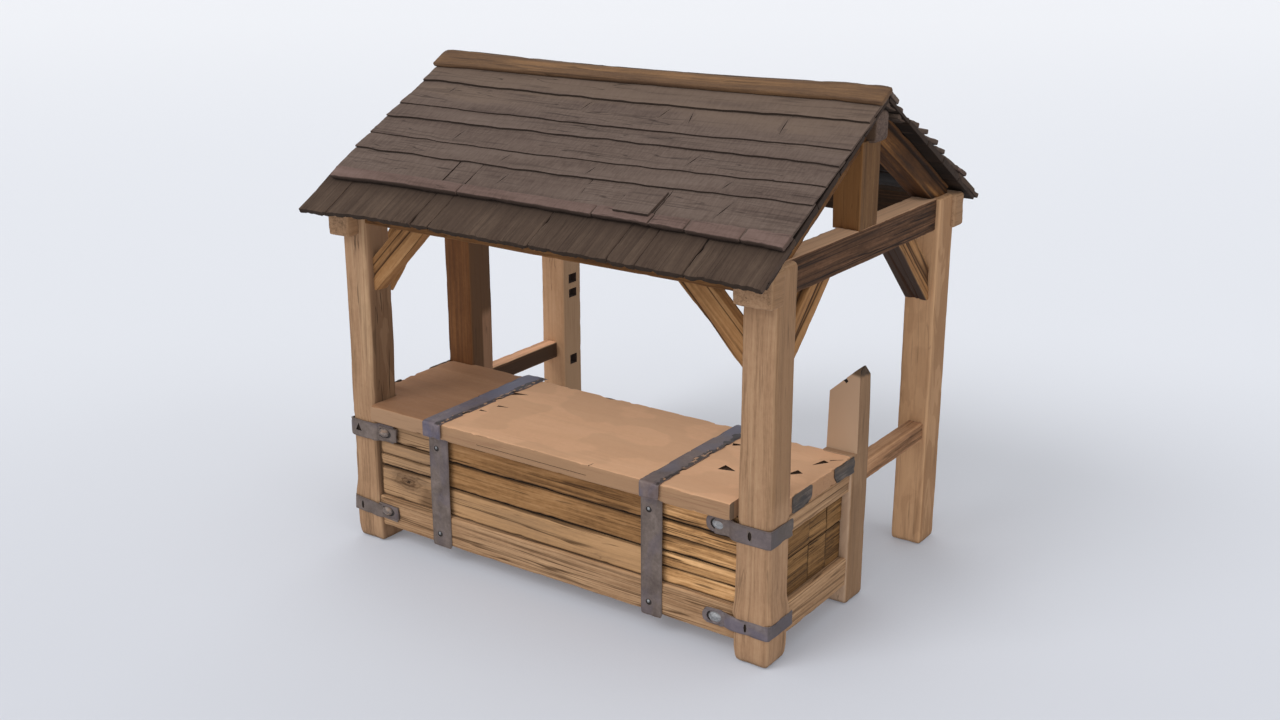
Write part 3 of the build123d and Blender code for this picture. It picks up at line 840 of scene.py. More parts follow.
# the left worktop plank: darker all over as a painted shadow, its front edge painted lighter
worktop_wood_in_painted_shadow = wood("worktop_wood_in_painted_shadow", paint(129, 92, 64), paint(146, 107, 78), paint(167, 126, 92),
                        broad=0.7, fine=0.7, lines=0.3, cracks=0.1, smooth_top=0.92, wear=0.12,
                        stain=sides((SOUTH, paint(160, 128, 100), 0.9)))
roof_wood = wood("roof_wood", paint(77, 63, 57), paint(99, 84, 76), paint(113, 98, 90), broad=0.7, fine=0.35,
                 lines=0.35, line_pitch=16, cracks=0.6, hatch=0.65, wear=0.0, corner_dirt_and_shade=0.7, rough=0.9,
                 stain=roof_stain)
eave_wood = wood("eave_wood", paint(54, 40, 33), paint(78, 63, 53), paint(100, 83, 70), broad=0.6, fine=0.75,
                 lines=0.4, line_pitch=44, cracks=0.3, wear=0.0, corner_dirt_and_shade=0.8, rough=0.9, stain=below_lip)
lip_wood = wood("lip_wood", paint(80, 63, 56), paint(107, 87, 80), paint(125, 104, 97), broad=0.8, fine=0.4,
                lines=0.15, hatch=0.4, wear=0.1, corner_dirt_and_shade=0.8, rough=0.9, stain=butt_painted_shade)
# the roof's underside: near black as painted shade, with its end faces lighter
deck_wood_in_painted_shade = wood("deck_wood_in_painted_shade", paint(20, 13, 8), paint(33, 23, 16), paint(50, 36, 26),
                 stain=sides((EAST, paint(58, 45, 37), 0.9), (WEST, paint(58, 45, 37), 0.9)))
cap_wood = wood("cap_wood", paint(78, 58, 45), paint(106, 80, 58), paint(138, 104, 72), broad=1.0, fine=0.8,
                lines=0.5, wear=0.0)
grey_cap_wood = wood("grey_cap_wood", paint(76, 62, 54), paint(98, 82, 72), paint(120, 104, 92), fine=0.8,
                     wear=0.0)
# painted shade: dark faces inside the post's pockets
pocket_shade_wood = wood("pocket_shade_wood", paint(38, 28, 25), paint(62, 47, 41), paint(88, 68, 58), wear=0.0)
splintered_wood = wood("splintered_wood", paint(44, 30, 20), paint(74, 53, 37), paint(112, 84, 62), wear=0.0)
# painted shade: near black for the floors of slots, cracks and notches and the lining behind boards
painted_shade_wood = wood("painted_shade_wood", paint(22, 16, 12), paint(36, 27, 21), paint(54, 42, 33))
iron_colours = paint(86, 73, 68), paint(108, 95, 88), paint(131, 116, 109)
strap_iron = iron("strap_iron", *iron_colours, paint(98, 90, 102), 0.35, stain=iron_east_painted_shade)
blue_iron = iron("blue_iron", paint(82, 74, 80), paint(110, 99, 105), paint(132, 120, 124),
                 paint(92, 90, 112), 0.5, stain=flaked(-0.731, -0.75))
top_iron = iron("top_iron", paint(88, 74, 72), paint(112, 96, 93), paint(131, 115, 109), paint(96, 96, 116),
                0.4, stain=flaked(0.838, -0.45))
end_iron = iron("end_iron", paint(46, 39, 34), paint(74, 64, 57), paint(106, 94, 85), paint(90, 72, 56), 0.5,
                streaks=1.6)
# painted shade: near-black iron inside sockets, rings and bites
socket_shade_iron = iron("socket_shade_iron", paint(28, 24, 22), paint(46, 40, 37), paint(66, 58, 54), paint(60, 46, 36),
                   0.5)
rough_bolt_iron = iron("rough_bolt_iron", paint(66, 56, 50), paint(116, 104, 98), paint(160, 146, 136),
                       paint(150, 118, 92), 0.5, size=6.0)
# the lower right band: the strap iron painted lighter to offset shade, and bluer
lower_band_iron_painted_light = iron("lower_band_iron_painted_light", paint(92, 81, 80), paint(115, 104, 103), paint(139, 127, 126),
                     paint(100, 94, 112), 0.5, stain=iron_east_painted_shade)
bolt_iron = iron("bolt_iron", paint(104, 104, 106), paint(140, 141, 143), paint(180, 182, 184),
                 paint(104, 100, 104), 0.6, size=6.0)


# ---- Worked-out places ----

weathering = weathering_group()
ENDS = ((1, "right"), (-1, "left"))
half_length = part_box("worktop")[1].x
half_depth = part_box("rear_post_right")[1].y
post_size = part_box("mid_post_left")[1].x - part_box("mid_post_left")[0].x
post_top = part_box("rear_post_right")[1].z
mid_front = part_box("mid_post_left")[0].y
tie_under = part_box("tie_beam_right")[0].z
plate_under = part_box("front_plate")[0].z
post_inner_x = half_length - post_size
post_inner_y = half_depth - post_size
ridge_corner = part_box("ridge_beam")[1]
apex = ridge_corner.z + ridge_corner.y * tan(roof_pitch)
sag_half_length = 1.29
ridge_sag = 0.020
left_gable_drop = 0.026
left_eave_droop = 0.024
roof_half_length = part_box("roof_front")[1].x - 0.004
roof_run = 1.465


def settling_group():
    """Lets the roof sag between the gables and drop at the left one, most at the ridge."""
    tree, graph, given = new_modifier_group("settling", {})
    x, y, z = graph.parts(graph.node("GeometryNodeInputPosition", {}, {}))
    across = (x / sag_half_length).least(1).most(-1)
    drop = ridge_sag * (1 - across * across) + left_gable_drop / 2 * (1 - across)
    share = 1 - abs(y) / (roof_run * cos(roof_pitch))
    droop = left_eave_droop * x.rise(-1.0, -1.56) * share.rise(0.3, 0.0)
    down = graph.joined(0, 0, -1 * drop * share - droop)
    geometry = graph.node("GeometryNodeSetPosition", {}, {"Geometry": given["Geometry"], "Offset": down})
    close_modifier_group(tree, geometry)
    return tree


settling = settling_group()


# ---- Posts ----

def grip_group():
    """Swells a front post between its bands and where they grip it.

    Ribs run up the post above the lower band and die out.
    """
    tree, graph, given = new_modifier_group("grip", {"Axis": "NodeSocketVector", "Swell": "NodeSocketFloat"})
    place = graph.node("GeometryNodeInputPosition", {}, {})
    away = graph.vector("MULTIPLY", graph.vector("SUBTRACT", place, given["Axis"]), (1, 1, 0))
    x, y, z = graph.parts(place)
    lower_grip = z.rise(0.165, 0.19) * z.rise(0.275, 0.255)
    upper_grip = z.rise(0.708, 0.718) * z.rise(0.824, 0.814)
    between = z.rise(0.80, 0.72) * z.rise(0.17, 0.20)
    above = z.rise(0.80, 0.84)
    waist = above * z.rise(1.3, 1.0)
    foot = 0.12 + 0.07 * z.rise(0.02, 0.10)
    ribs = graph.noise(place, (60, 60, 3), 1) - 0.5
    swell = given["Swell"]
    swollen = 0.02 + 0.13 * swell + 0.13 * z.rise(0.40, 0.268) + 0.16 * ribs * z.rise(0.48, 0.27)
    free = foot * z.rise(0.20, 0.17) + swollen * between + above * 0.065
    free = free + swell * (0.035 * above + 0.03 * waist)
    growth = free * (1 - lower_grip) * (1 - upper_grip) + 0.16 * lower_grip + 0.09 * upper_grip
    lean = swell * (0.015 * between + 0.003 * above + 0.010 * waist) - 0.018 * between - 0.010 * waist
    offset = graph.vector("ADD", graph.scaled(away, growth), graph.joined(lean, 0, 0))
    geometry = graph.node("GeometryNodeSetPosition", {}, {"Geometry": given["Geometry"], "Offset": offset})
    close_modifier_group(tree, geometry)
    return tree


grip = grip_group()


def post(name, front, side, top, finish, proud=0.006, **wear):
    """A post at one end of the stall; it stands a little proud of the true square that it is given."""
    low_x, high_x = sorted((side * (half_length + proud), side * (half_length - post_size - proud)))
    low = (low_x, front - proud, 0.003)
    high = (high_x, front + post_size + proud, top)
    wear = {"Radius": 0.02, "Warp": 0.003, "Waves": 0.0035, "Grooves": 0.0015, "Chips": 0.003, **wear}
    return timber(name, (low, high), 2, finish, **wear)


def gripped_post(name, side, finish, node):
    """A front post, held by its two bands."""
    piece = post(name, -half_depth, side, post_top, finish, 0.0, Radius=0.03)
    axis = (side * (half_length - post_size / 2), -half_depth + post_size / 2, 0)
    apply_group(piece, grip, {"Axis": axis, "Swell": 1.0 if side > 0 else 0.0})
    hand_over(piece, node)


gripped_post("post_front_right", 1, post_wood, "front_post_right")
gripped_post("post_front_left", -1, post_wood_with_painted_shade, "front_post_left")
left_mid_post = post("post_mid_left", mid_front, -1, tie_under + 0.01, brown_wood, 0.012, Warp=0.006)
hand_over(left_mid_post, "mid_post_left")
right_rear_post = post("post_rear_right", post_inner_y, 1, post_top, greyed_post_wood)
hand_over(right_rear_post, "rear_post_right")

pocketed = post("post_rear_left", post_inner_y, -1, post_top, pocketed_wood)
middle = (post_inner_y + half_depth) / 2
for bottom, height, width in ((1.250, 0.066, 0.088), (1.145, 0.062, 0.086), (0.645, 0.070, 0.076)):
    cutter = box_cutter((-post_inner_x - 0.04, middle - width / 2, bottom),
                        (-post_inner_x + 0.05, middle + width / 2, bottom + height))
    cut_away(pocketed, cutter, pocket_shade_wood)
hand_over(pocketed, "rear_post_left")


def broken_post():
    """The right mid post: cut back above the worktop, thinner upwards and snapped off in a slant."""
    piece = post("post_mid_right", mid_front, 1, 1.52, broken_wood, Warp=0.003, Chips=0.006, Radius=0.024)
    cutter = box_cutter((1.25, mid_front - 0.05, 0.934), (1.57, mid_front + 0.040, 1.60))
    cut_away(piece, cutter, broken_wood)
    saw_off(
        piece,
        ((1.324, 0, 1.282), (-0.93, 0, 1)),
        ((1.47, 0, 1.434), (-0.3, 0, 1)),
        ((0, -0.035, 1.446), (0, 1.0, 1)),
        ((0, -0.035, 1.446), (0, -0.35, 1)),
        ((1.312, 0, 0.93), (-1, 0, 0.02)),
        ((0, 0.045, 1.2), (0, 1, 0.07)),
    )
    soften(piece, 0.016)
    bite = prism_cutter((1.405, mid_front + 0.04, 1.368), SOUTH, (-1, 0, 1), 5, 0.030, 0.075, 0.2)
    cut_away(piece, bite, painted_shade_wood)
    crack = prism_cutter((1.4985, -0.068, 1.13), EAST, UP, 4, 0.007, 0.26, 0.006)
    cut_away(piece, crack, splintered_wood)
    return piece


hand_over(broken_post(), "mid_post_right")


# ---- Head of the frame ----

def end_block(name, low, high):
    """The end of a tie beam, standing proud of the post."""
    wear = {"Radius": 0.022, "Waves": 0.004, "Grooves": 0.002, "Chips": 0.006}
    return timber(name, (low, high), 1, post_wood, 0.0095, **wear)


# the tie beams: x of the blocks at their ends, and how much lower these hang
for title, (low_x, high_x), hang in (("right", (1.292, 1.530), 0.006), ("left", (-1.532, -1.362), 0.044)):
    low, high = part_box("tie_beam_" + title)
    tie_low = (low.x, -half_depth + 0.03, low.z)
    tie_high = (high.x, half_depth - 0.03, high.z)
    tie = timber("tie", (tie_low, tie_high), 1, tie_wood, Waves=0.005, Grooves=0.003, Warp=0.006,
                 Chips=0.005, Radius=0.006)
    bottom = low.z - 0.005 - hang
    front_end = end_block("front_end", (low_x, low.y + 0.002, bottom), (high_x, -half_depth + 0.04, high.z))
    rear_end = end_block("rear_end", (low_x, half_depth - 0.04, bottom), (high_x, high.y - 0.002, high.z))
    whole = join("tie_beam_and_ends_" + title, [tie, front_end, rear_end])
    hand_over(whole, "tie_beam_" + title)

for title, finish in (("front", plate_wood), ("rear", plate_wood_in_painted_shade)):
    low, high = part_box(title + "_plate")
    low.x -= 0.01
    high.x += 0.01
    piece = timber("plate_" + title, (low, high), 0, finish, 0.013, Waves=0.004, Grooves=0.002)
    hand_over(piece, title + "_plate")

for side, title in ENDS:
    low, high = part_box("king_post_" + title)
    low_x, high_x = sorted((side * 1.306, side * 1.474))
    low = (low_x, low.y - 0.028, low.z - 0.006)
    high = (high_x, high.y - 0.020, high.z)
    piece = timber("king_" + title, (low, high), 2, king_wood, Radius=0.006, Waves=0.003, Grooves=0.002)
    hand_over(piece, "king_post_" + title)

beam_box = ((-1.518, -0.076, apex - 0.221), (1.522, 0.078, apex - 0.055))
beam = timber("ridge_timber", beam_box, 0, beam_wood, 0.013, Radius=0.03, Waves=0.003)
apply_group(beam, settling, {})
hand_over(beam, "ridge_beam")


def slanted(name, start, end, width, depth, up, finish, step=TIMBER_STEP, **wear):
    """A timber between two points on its middle line."""
    start, end = Vector(start), Vector(end)
    piece = worn_block(name, ((end - start).length, width, depth), step, finish, **wear)
    return place(piece, directed((start + end) / 2, end - start, up))


def on_slope(side, down, height):
    """(y, z) of a point given down a slope and square to it; side is -1 in front and 1 behind."""
    y = down * cos(roof_pitch) + height * sin(roof_pitch)
    return side * y, apex - down * sin(roof_pitch) + height * cos(roof_pitch)


rafter_depth = 0.155
rafter_run = 1.36
for title in ("right", "left"):
    for row, side in (("front", -1), ("rear", 1)):
        node = "rafter_" + row + "_" + title
        low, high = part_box(node)
        middle = (low.x + high.x) / 2
        head = (middle, *on_slope(side, 0.0, -rafter_depth / 2))
        foot = (middle, *on_slope(side, rafter_run, -rafter_depth / 2))
        up = (0, side * sin(roof_pitch), cos(roof_pitch))
        piece = slanted("rafter_" + row, head, foot, high.x - low.x, rafter_depth, up, rafter_wood,
                        Radius=0.01, Waves=0.004, Grooves=0.001, Furrows=0.009, Pitch=9.0, Warp=0.006)
        saw_off(piece, ((0, side * 0.03, 0), (0, -side, 0)))
        saw_off(piece, ((0, side * (half_depth - 0.004), 0), (0, side, 0)))
        saw_off(piece, ((0, 0, post_top - 0.004), (0, 0, -1)))
        apply_group(piece, settling, {})
        hand_over(piece, node)


# ---- Braces ----

def brace(name, node, post_face, under, across, width, leg, inward, along_x, finish=brace_wood):
    """A diagonal timber from the face of a post up to the timber above, whose underside is at under.

    The post's face is given along the wall, the brace's middle across it. Its leg is how far down the post
    and how far along the wall it reaches; inward is 1 or -1 along the wall.
    """
    depth = 0.155
    past = 0.12
    middle_leg = leg - depth / 2 / cos(radians(45))

    def point(along, height):
        wall_place = post_face + inward * along
        return (wall_place, across, height) if along_x else (across, wall_place, height)

    def leaning(along, height):
        return (along, 0, height) if along_x else (0, along, height)

    start = point(-past, under - middle_leg - past)
    end = point(middle_leg + past, under + past)
    piece = slanted(name, start, end, width, depth, leaning(-inward, 1), finish, 0.009, Radius=0.010,
                    Waves=0.004, Grooves=0.001, Furrows=0.009, Pitch=14.0, Chips=0.004)
    saw_off(piece, (point(-0.006, 0), leaning(-inward, 0)))
    saw_off(piece, ((0, 0, under + 0.006), UP))
    saw_off(piece, (point(0, under - leg + 0.028), leaning(inward * -0.35, -1)))
    hand_over(piece, node)


brace_y = -half_depth + 0.09
for side, title in ENDS:
    node = "front_brace_" + title
    brace("front_brace", node, side * post_inner_x, plate_under, brace_y, 0.1, 0.44, -side, True)
    brace_x = side * (half_length - 0.115)
    for row, towards, finish in (("front", 1, brace_wood), ("rear", -1, brace_wood_with_painted_shade)):
        node = "gable_brace_" + row + "_" + title
        post_face = -towards * post_inner_y
        brace("gable_brace", node, post_face, tie_under, brace_x, 0.15, 0.45, towards, False, finish)


# ---- Side rails ----

for title, finish in (("right", side_rail_wood), ("left", rail_wood_painted_light_and_shade)):
    low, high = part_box("side_rail_" + title)
    low.y = mid_front + post_size - 0.01
    high.y = post_inner_y + 0.01
    piece = timber("rail_" + title, (low, high), 1, finish, 0.011, Radius=0.012, Waves=0.004, Grooves=0.002)
    hand_over(piece, "side_rail_" + title)


# ---- Counter ----

counter_left, counter_right = -post_inner_x, post_inner_x
rail_low, rail_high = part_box("front_rail")
rail_box = ((counter_left - 0.01, rail_low.y, rail_low.z), (counter_right + 0.01, rail_high.y, rail_high.z))
front_rail = timber("front_rail_timber", rail_box, 0, rail_wood, Radius=0.016, Waves=0.004, Grooves=0.001,
                    Furrows=0.003, Pitch=24.0, Warp=0.004)
hand_over(front_rail, "front_rail")

boards_low, boards_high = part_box("front_boards")
board_bottom, board_top = 0.316, 0.834
left_joint, right_joint = -0.796, 0.768
tucked = 0.004
left_bay = (counter_left - tucked, left_joint)
middle_bay = (left_joint, right_joint)
right_bay = (right_joint, counter_right + tucked)
lining_step = 0.03


def boards(bay, heights, finish, gap=0.009):
    """Rows of boards across a bay of the counter's front."""
    rows = []
    for bottom, top in zip(heights, heights[1:]):
        y = boards_low.y + dice.uniform(0, 0.004)
        box = ((bay[0], y, bottom + gap / 2), (bay[1], boards_high.y, top - gap / 2))
        rows.append(timber("board", box, 0, finish, Radius=0.007, Waves=0.004, Grooves=0.0030, Chips=0.006,
                           Warp=0.004))
    return rows


counter_boards = [
    *boards(left_bay, (board_bottom, 0.521), board_wood),
    *boards(left_bay, (0.524, 0.598, 0.69, board_top), board_wood, 0.005),
    *boards(middle_bay, (board_bottom, 0.498, 0.667, board_top), board_wood),
    *boards(right_bay, (board_bottom, 0.42, 0.509), dark_board_wood, 0.004),
    *boards(right_bay, (0.517, 0.61, 0.700), dark_board_wood, 0.004),
    *boards(right_bay, (0.706, board_top), dark_board_wood, 0.004),
]
# a near-black sheet behind the boards: painted shade seen through their gaps
lining_box = ((counter_left, boards_high.y - 0.008, 0.30), (counter_right, boards_high.y, board_top))
lining = timber("lining", lining_box, 0, painted_shade_wood, lining_step, Radius=0.002)
hand_over(join("counter_front_boards", [*counter_boards, lining]), "front_boards")

for side, title in ENDS:
    low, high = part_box("end_rails_" + title)
    near, far = -post_inner_y - 0.01, mid_front + 0.01
    rails = []
    for bottom, top in ((0.12, 0.30), (0.71, 0.83)):
        rails.append(timber("end_rail", ((low.x, near, bottom), (high.x, far, top)), 1, rail_wood, 0.011,
                            Radius=0.01, Waves=0.004, Grooves=0.001, Furrows=0.002, Pitch=24.0))
    hand_over(join("end_rails_pair_" + title, rails), "end_rails_" + title)

    low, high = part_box("end_boards_" + title)
    planks = []
    for bottom, top in ((0.296, 0.521), (0.531, 0.714)):
        for near, far in ((-0.86, -0.516), (-0.514, -0.316), (-0.314, -0.13)):
            outer = dice.uniform(0, 0.004) * side
            box = ((low.x + min(outer, 0), near, bottom), (high.x + max(outer, 0), far, top))
            planks.append(timber("plank", box, 1, end_board_wood, Radius=0.003, Waves=0.003, Grooves=0.003,
                                 Chips=0.003))
    inside = low.x + 0.002 if side > 0 else high.x - 0.008
    # a near-black sheet behind the end planks: painted shade seen through their gaps
    lining_box = ((inside, -0.86, 0.30), (inside + 0.006, -0.13, 0.71))
    planks.append(timber("end_lining", lining_box, 1, painted_shade_wood, lining_step, Radius=0.002))
    hand_over(join("end_planks_" + title, planks), "end_boards_" + title)

low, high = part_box("back_boards")
backs = []
for bottom, top in ((0.12, 0.354), (0.359, 0.59), (0.595, 0.83)):
    backs.append(timber("back", ((low.x, low.y, bottom), (high.x, high.y, top)), 0, end_board_wood, 0.014,
                        Radius=0.005, Waves=0.004, Grooves=0.003))
hand_over(join("counter_back_boards", backs), "back_boards")

top_low, top_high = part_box("worktop")


def worktop_plank(name, x_limits, finish):
    """A plank of the worktop; the outer ones are notched round the front posts."""
    low = (x_limits[0], top_low.y, top_low.z)
    high = (x_limits[1], top_high.y + 0.014, top_high.z)
    piece = timber(name, (low, high), 0, finish, 0.0115, Radius=0.009, Waves=0.003, Grooves=0.0014,
                   Chips=0.013, Warp=0.001, Chip_run=11.0)
    for outer, inner in ((half_length, 1.279), (-half_length, -post_inner_x)):
        if outer in x_limits:
            low_x, high_x = sorted((inner, outer + (0.03 if outer > 0 else -0.03)))
            notch = box_cutter((low_x, top_low.y - 0.05, top_low.z - 0.05),
                               (high_x, -post_inner_y, top_high.z + 0.05))
            cut_away(piece, notch, finish)
    return piece


left_plank = worktop_plank("left", (-half_length, left_joint), worktop_wood_in_painted_shadow)
middle_plank = worktop_plank("middle", (left_joint, right_joint), worktop_wood)
right_plank = worktop_plank("right", (right_joint, half_length), worktop_wood)
face = top_high.z + 0.001
for plank, x, y, length, width, depth, turn in (
    (right_plank, 1.010, -0.688, 0.13, 0.085, 0.009, 355),
    (right_plank, 1.350, -0.530, 0.15, 0.060, 0.009, 240),
    (right_plank, 1.400, -0.312, 0.14, 0.050, 0.009, 248),
    (right_plank, 0.875, -0.350, 0.11, 0.045, 0.009, 25),
    (right_plank, 1.452, -0.232, 0.16, 0.012, 0.009, 45),
    (middle_plank, -0.700, -0.408, 0.15, 0.055, 0.005, 20),
    (middle_plank, -0.640, -0.640, 0.11, 0.026, 0.005, 10),
    (middle_plank, -0.690, -0.760, 0.08, 0.024, 0.005, 5),
    (middle_plank, 0.360, -1.080, 0.09, 0.012, 0.005, 80),
):
    gouge(plank, (x, y, face), length, width, depth, turn)
back = top_high.y + 0.018
back_bites = ((-0.19, 0.13, 0.075), (-0.58, 0.07, 0.04), (0.107, 0.05, 0.035), (0.33, 0.04, 0.03))
for x, length, width in back_bites:
    bite = prism_cutter((x, back, face), UP, EAST, 5, width, length, 0.008)
    cut_away(middle_plank, bite, splintered_wood)
seam = box_cutter((-0.46, top_low.y - 0.05, 0.864), (0.34, top_low.y + 0.003, 0.867))
cut_away(middle_plank, seam, splintered_wood)
worktop = join("worktop_planks", [left_plank, middle_plank, right_plank])
hand_over(worktop, "worktop")


# ---- Ironwork ----

iron_thickness = 0.007


def plate(name, size, finish, step=0.009, **wear):
    """A piece of flat iron, made of cells as wide as its step."""
    wear = {"Radius": 0.003, "Waves": 0.0015, "Grooves": 0.0, "Chips": 0.002, "Warp": 0.0, **wear}
    return worn_block(name, size, step, finish, **wear)


def dome(name, width, height, thickness, finish):
    """A forged bolt head, out along z."""
    bpy.ops.object.select_all(action="DESELECT")
    bpy.ops.mesh.primitive_uv_sphere_add(segments=20, ring_count=12, radius=0.5)
    piece = named(bpy.context.object, name)
    place(piece, Matrix.Diagonal((width, height, 2 * thickness, 1)))
    piece.data.materials.append(finish)
    return weather(piece, (1, 1, 1), Crowd=0.0, Radius=0.0, Waves=0.004, Grooves=0.0, Chips=0.0, Warp=0.0)


def widen_back(strap, centre):
    """The left strap is hammered wider towards the back."""
    bpy.ops.object.mode_set(mode="EDIT")
    for y in (-0.62, -0.48, -0.34, -0.20):
        pick(strap, "verts", lambda vertex: vertex.co.y > y)
        bpy.ops.transform.resize(value=(1.045, 1, 1), center_override=(centre, 0, 0))
    bpy.ops.object.mode_set(mode="OBJECT")


def worktop_strap(title, centre, width, finish):
    """Up the worktop's front edge, across its top, and turned down a little past the back."""
    overhang = 0.055
    run = top_high.y - top_low.y + 0.012
    drop = top_high.z - top_low.z - 0.006
    length = drop + run + overhang
    size = (length, width, iron_thickness)
    strap = plate("strap", size, finish, 0.0085, Waves=0.004, Chips=0.007, Corner=0.010)
    fold(strap, drop - length / 2, radians(90), iron_thickness, -1)
    fold(strap, length / 2 - 0.030, radians(16), iron_thickness)
    middle = (centre, top_low.y - 0.004 - drop + length / 2, top_high.z + iron_thickness / 2)
    place(strap, directed(middle, NORTH, UP))
    if title == "left":
        widen_back(strap, centre)
    bites = ((0.5, -0.86, 0.05), (0.5, -0.56, 0.045), (0.5, -0.40, 0.035), (-0.5, -0.60, 0.025))
    for edge, y, bite in bites:
        point = (centre + edge * width, y, top_high.z)
        cutter = prism_cutter(point, UP, (0.2, 1, 0), 5, 0.6 * bite, 1.6 * bite, 0.03)
        cut_away(strap, cutter, socket_shade_iron)
    hand_over(strap, "worktop_strap_" + title)


def front_strap(title, wider, shift):
    """Down the counter's front, with a sunk nail near each end."""
    low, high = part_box("front_strap_" + title)
    width = high.x - low.x + wider
    centre = (low.x + high.x) / 2 + shift
    size = (high.z - low.z, width, iron_thickness)
    upright = plate("upright", size, strap_iron, Corner=0.02)
    place(upright, directed((centre, (low.y + high.y) / 2, (low.z + high.z) / 2), UP, SOUTH))
    heads = []
    for z in (0.749, 0.186):
        x = -0.016 + centre
        socket = prism_cutter((x, low.y, z), SOUTH, UP, 10, 0.040, 0.036, 0.005)
        cut_away(upright, socket, socket_shade_iron)
        head = dome("head", 0.020, 0.018, 0.006, bolt_iron)
        heads.append(place(head, directed((x - 0.004, low.y + 0.003, z + 0.003), UP, SOUTH)))
    hand_over(join("front_strap_and_nails_" + title, [upright, *heads]), "front_strap_" + title)


worktop_strap("right", 0.774, 0.128, top_iron)
front_strap("right", 0.004, -0.010)
worktop_strap("left", -0.800, 0.138, blue_iron)
front_strap("left", 0.012, 0.0)

# by level and side: the band's height, bottom, thickness, how far it stands off the post, how far back from
# the post's face its tail lies, and how much further than the post its side runs
band_shapes = {
    ("upper", "right"): (0.105, 0.712, 0.010, 0.009, 0.025, 0.034),
    ("lower", "right"): (0.088, 0.182, 0.007, 0.017, 0.0, 0.056),
    ("upper", "left"): (0.113, 0.692, 0.010, 0.009, 0.025, 0.034),
    ("lower", "left"): (0.092, 0.184, 0.007, 0.017, 0.0, 0.056),
}
# the hole in its front: x, corners, width, height and depth
band_holes = {
    ("upper", "right"): (1.39, 8, 0.023, 0.052, 0.006),
    ("lower", "right"): (1.378, 8, 0.018, 0.052, 0.006),
    ("upper", "left"): (-1.447, 3, 0.056, 0.064, 0.009),
    ("lower", "left"): (-1.447, 8, 0.018, 0.052, 0.006),
}
# x of its end plate and of the bolt there
bolt_places = {
    ("upper", "right"): (1.175, 1.179),
    ("lower", "right"): (1.175, 1.179),
    ("upper", "left"): (-1.232, -1.250),
    ("lower", "left"): (-1.235, -1.243),
}
# by side: the end plate's size and corners, the ring sunk into it, and the bolt's size and finish
bolt_shapes = {
    "right": ((0.155, 0.100, 0.009), 0.048, (0.106, 0.074), (0.084, 0.060, 0.020), bolt_iron),
    "left": ((0.165, 0.088, 0.018), 0.010, (0.120, 0.062), (0.078, 0.058, 0.024), rough_bolt_iron),
}


def corner_band(level, side, title):
    """Round the side and front of a front post, then down onto the counter, with a bolted end."""
    height, bottom, thickness, stand_off, tail_back, side_extra = band_shapes[level, title]
    z = bottom + height / 2
    tail_face = -half_depth + tail_back
    side_run = post_size + side_extra
    front_run = post_size + 2 * stand_off + (0.006 if side > 0 else -0.014)
    tail_run = 0.15
    length = side_run + front_run + tail_run
    forged = lower_band_iron_painted_light if side > 0 and level == "lower" else strap_iron
    size = (length, height, thickness)
    band = plate("band", size, forged, Waves=0.003, Chips=0.009, Warp=0.004, Corner=0.008)
    corner = side_run - length / 2
    start = corner + front_run
    slope_run = 0.05 if side > 0 else 0.03
    slope = atan(abs(-half_depth - stand_off - tail_face) / slope_run)
    fold(band, start + slope_run, -slope, thickness)
    fold(band, start, slope, thickness)
    fold(band, corner, radians(90), thickness)
    x = side * (half_length + stand_off + thickness / 2)
    y = -half_depth - stand_off
    outward = (side, 0, 0)
    place(band, directed((x, y + corner + 0.004, z), SOUTH, outward))
    if (level, title) == ("lower", "left"):
        select_only(band)
        hinge = (-1.40, y, z)
        turn = radians(-3.5)
        bpy.ops.transform.rotate(value=turn, orient_axis="Y", orient_type="GLOBAL", center_override=hinge)
        bpy.ops.object.transform_apply(location=True, rotation=True, scale=True)

    lobe_x, bolt_x = bolt_places[level, title]
    lobe_size, lobe_corner, ring, bolt_size, finish = bolt_shapes[title]
    lobe = plate("lobe", lobe_size, forged, 0.006, Corner=lobe_corner, Waves=0.004, Chips=0.008)
    lobe_face = tail_face - 0.0005 - lobe_size[2]
    if side < 0:
        lobe_face = min(v.co.y for v in band.data.vertices if -0.02 < v.co.x - bolt_x < 0.06) - 0.005
    place(lobe, directed((lobe_x, lobe_face + lobe_size[2] / 2, z), outward, SOUTH))
    hollow = prism_cutter((bolt_x, lobe_face, z + 0.001), SOUTH, UP, 20, *ring, 0.005)
    cut_away(lobe, hollow, socket_shade_iron)
    bolt = dome("bolt", *bolt_size, finish)
    place(bolt, directed((bolt_x, lobe_face + 0.005, z + 0.002), EAST, SOUTH))

    hole_x, *hole = band_holes[level, title]
    front = min(v.co.y for v in band.data.vertices if abs(v.co.x - hole_x) < 0.03)
    cut_away(band, prism_cutter((hole_x, front, z), SOUTH, UP, *hole), painted_shade_wood)
    whole = join("band_and_bolt_" + level + "_" + title, [band, lobe, bolt])
    hand_over(whole, "band_" + level + "_" + title)


for side, title in ENDS:
    corner_band("upper", side, title)
    corner_band("lower", side, title)
    plates = []
    middle_z = (top_low.z + top_high.z) / 2
    for near, far, cut_y, lean in ((-0.822, -0.608, -0.638, 1), (-0.353, -0.112, -0.318, -1)):
        size = (far - near, 0.102, iron_thickness)
        end_plate = plate("end_plate", size, end_iron, 0.0075, Corner=0.018, Waves=0.005, Chips=0.014)
        middle = (side * (half_length + iron_thickness / 2), (near + far) / 2, middle_z)
        place(end_plate, directed(middle, NORTH, (side, 0, 0)))
        saw_off(end_plate, ((0, cut_y, top_low.z + 0.002), (0, lean, -0.75)))
        plates.append(end_plate)
    hand_over(join("worktop_end_plates_" + title, plates), "end_plates_" + title)


# ---- Roof ----

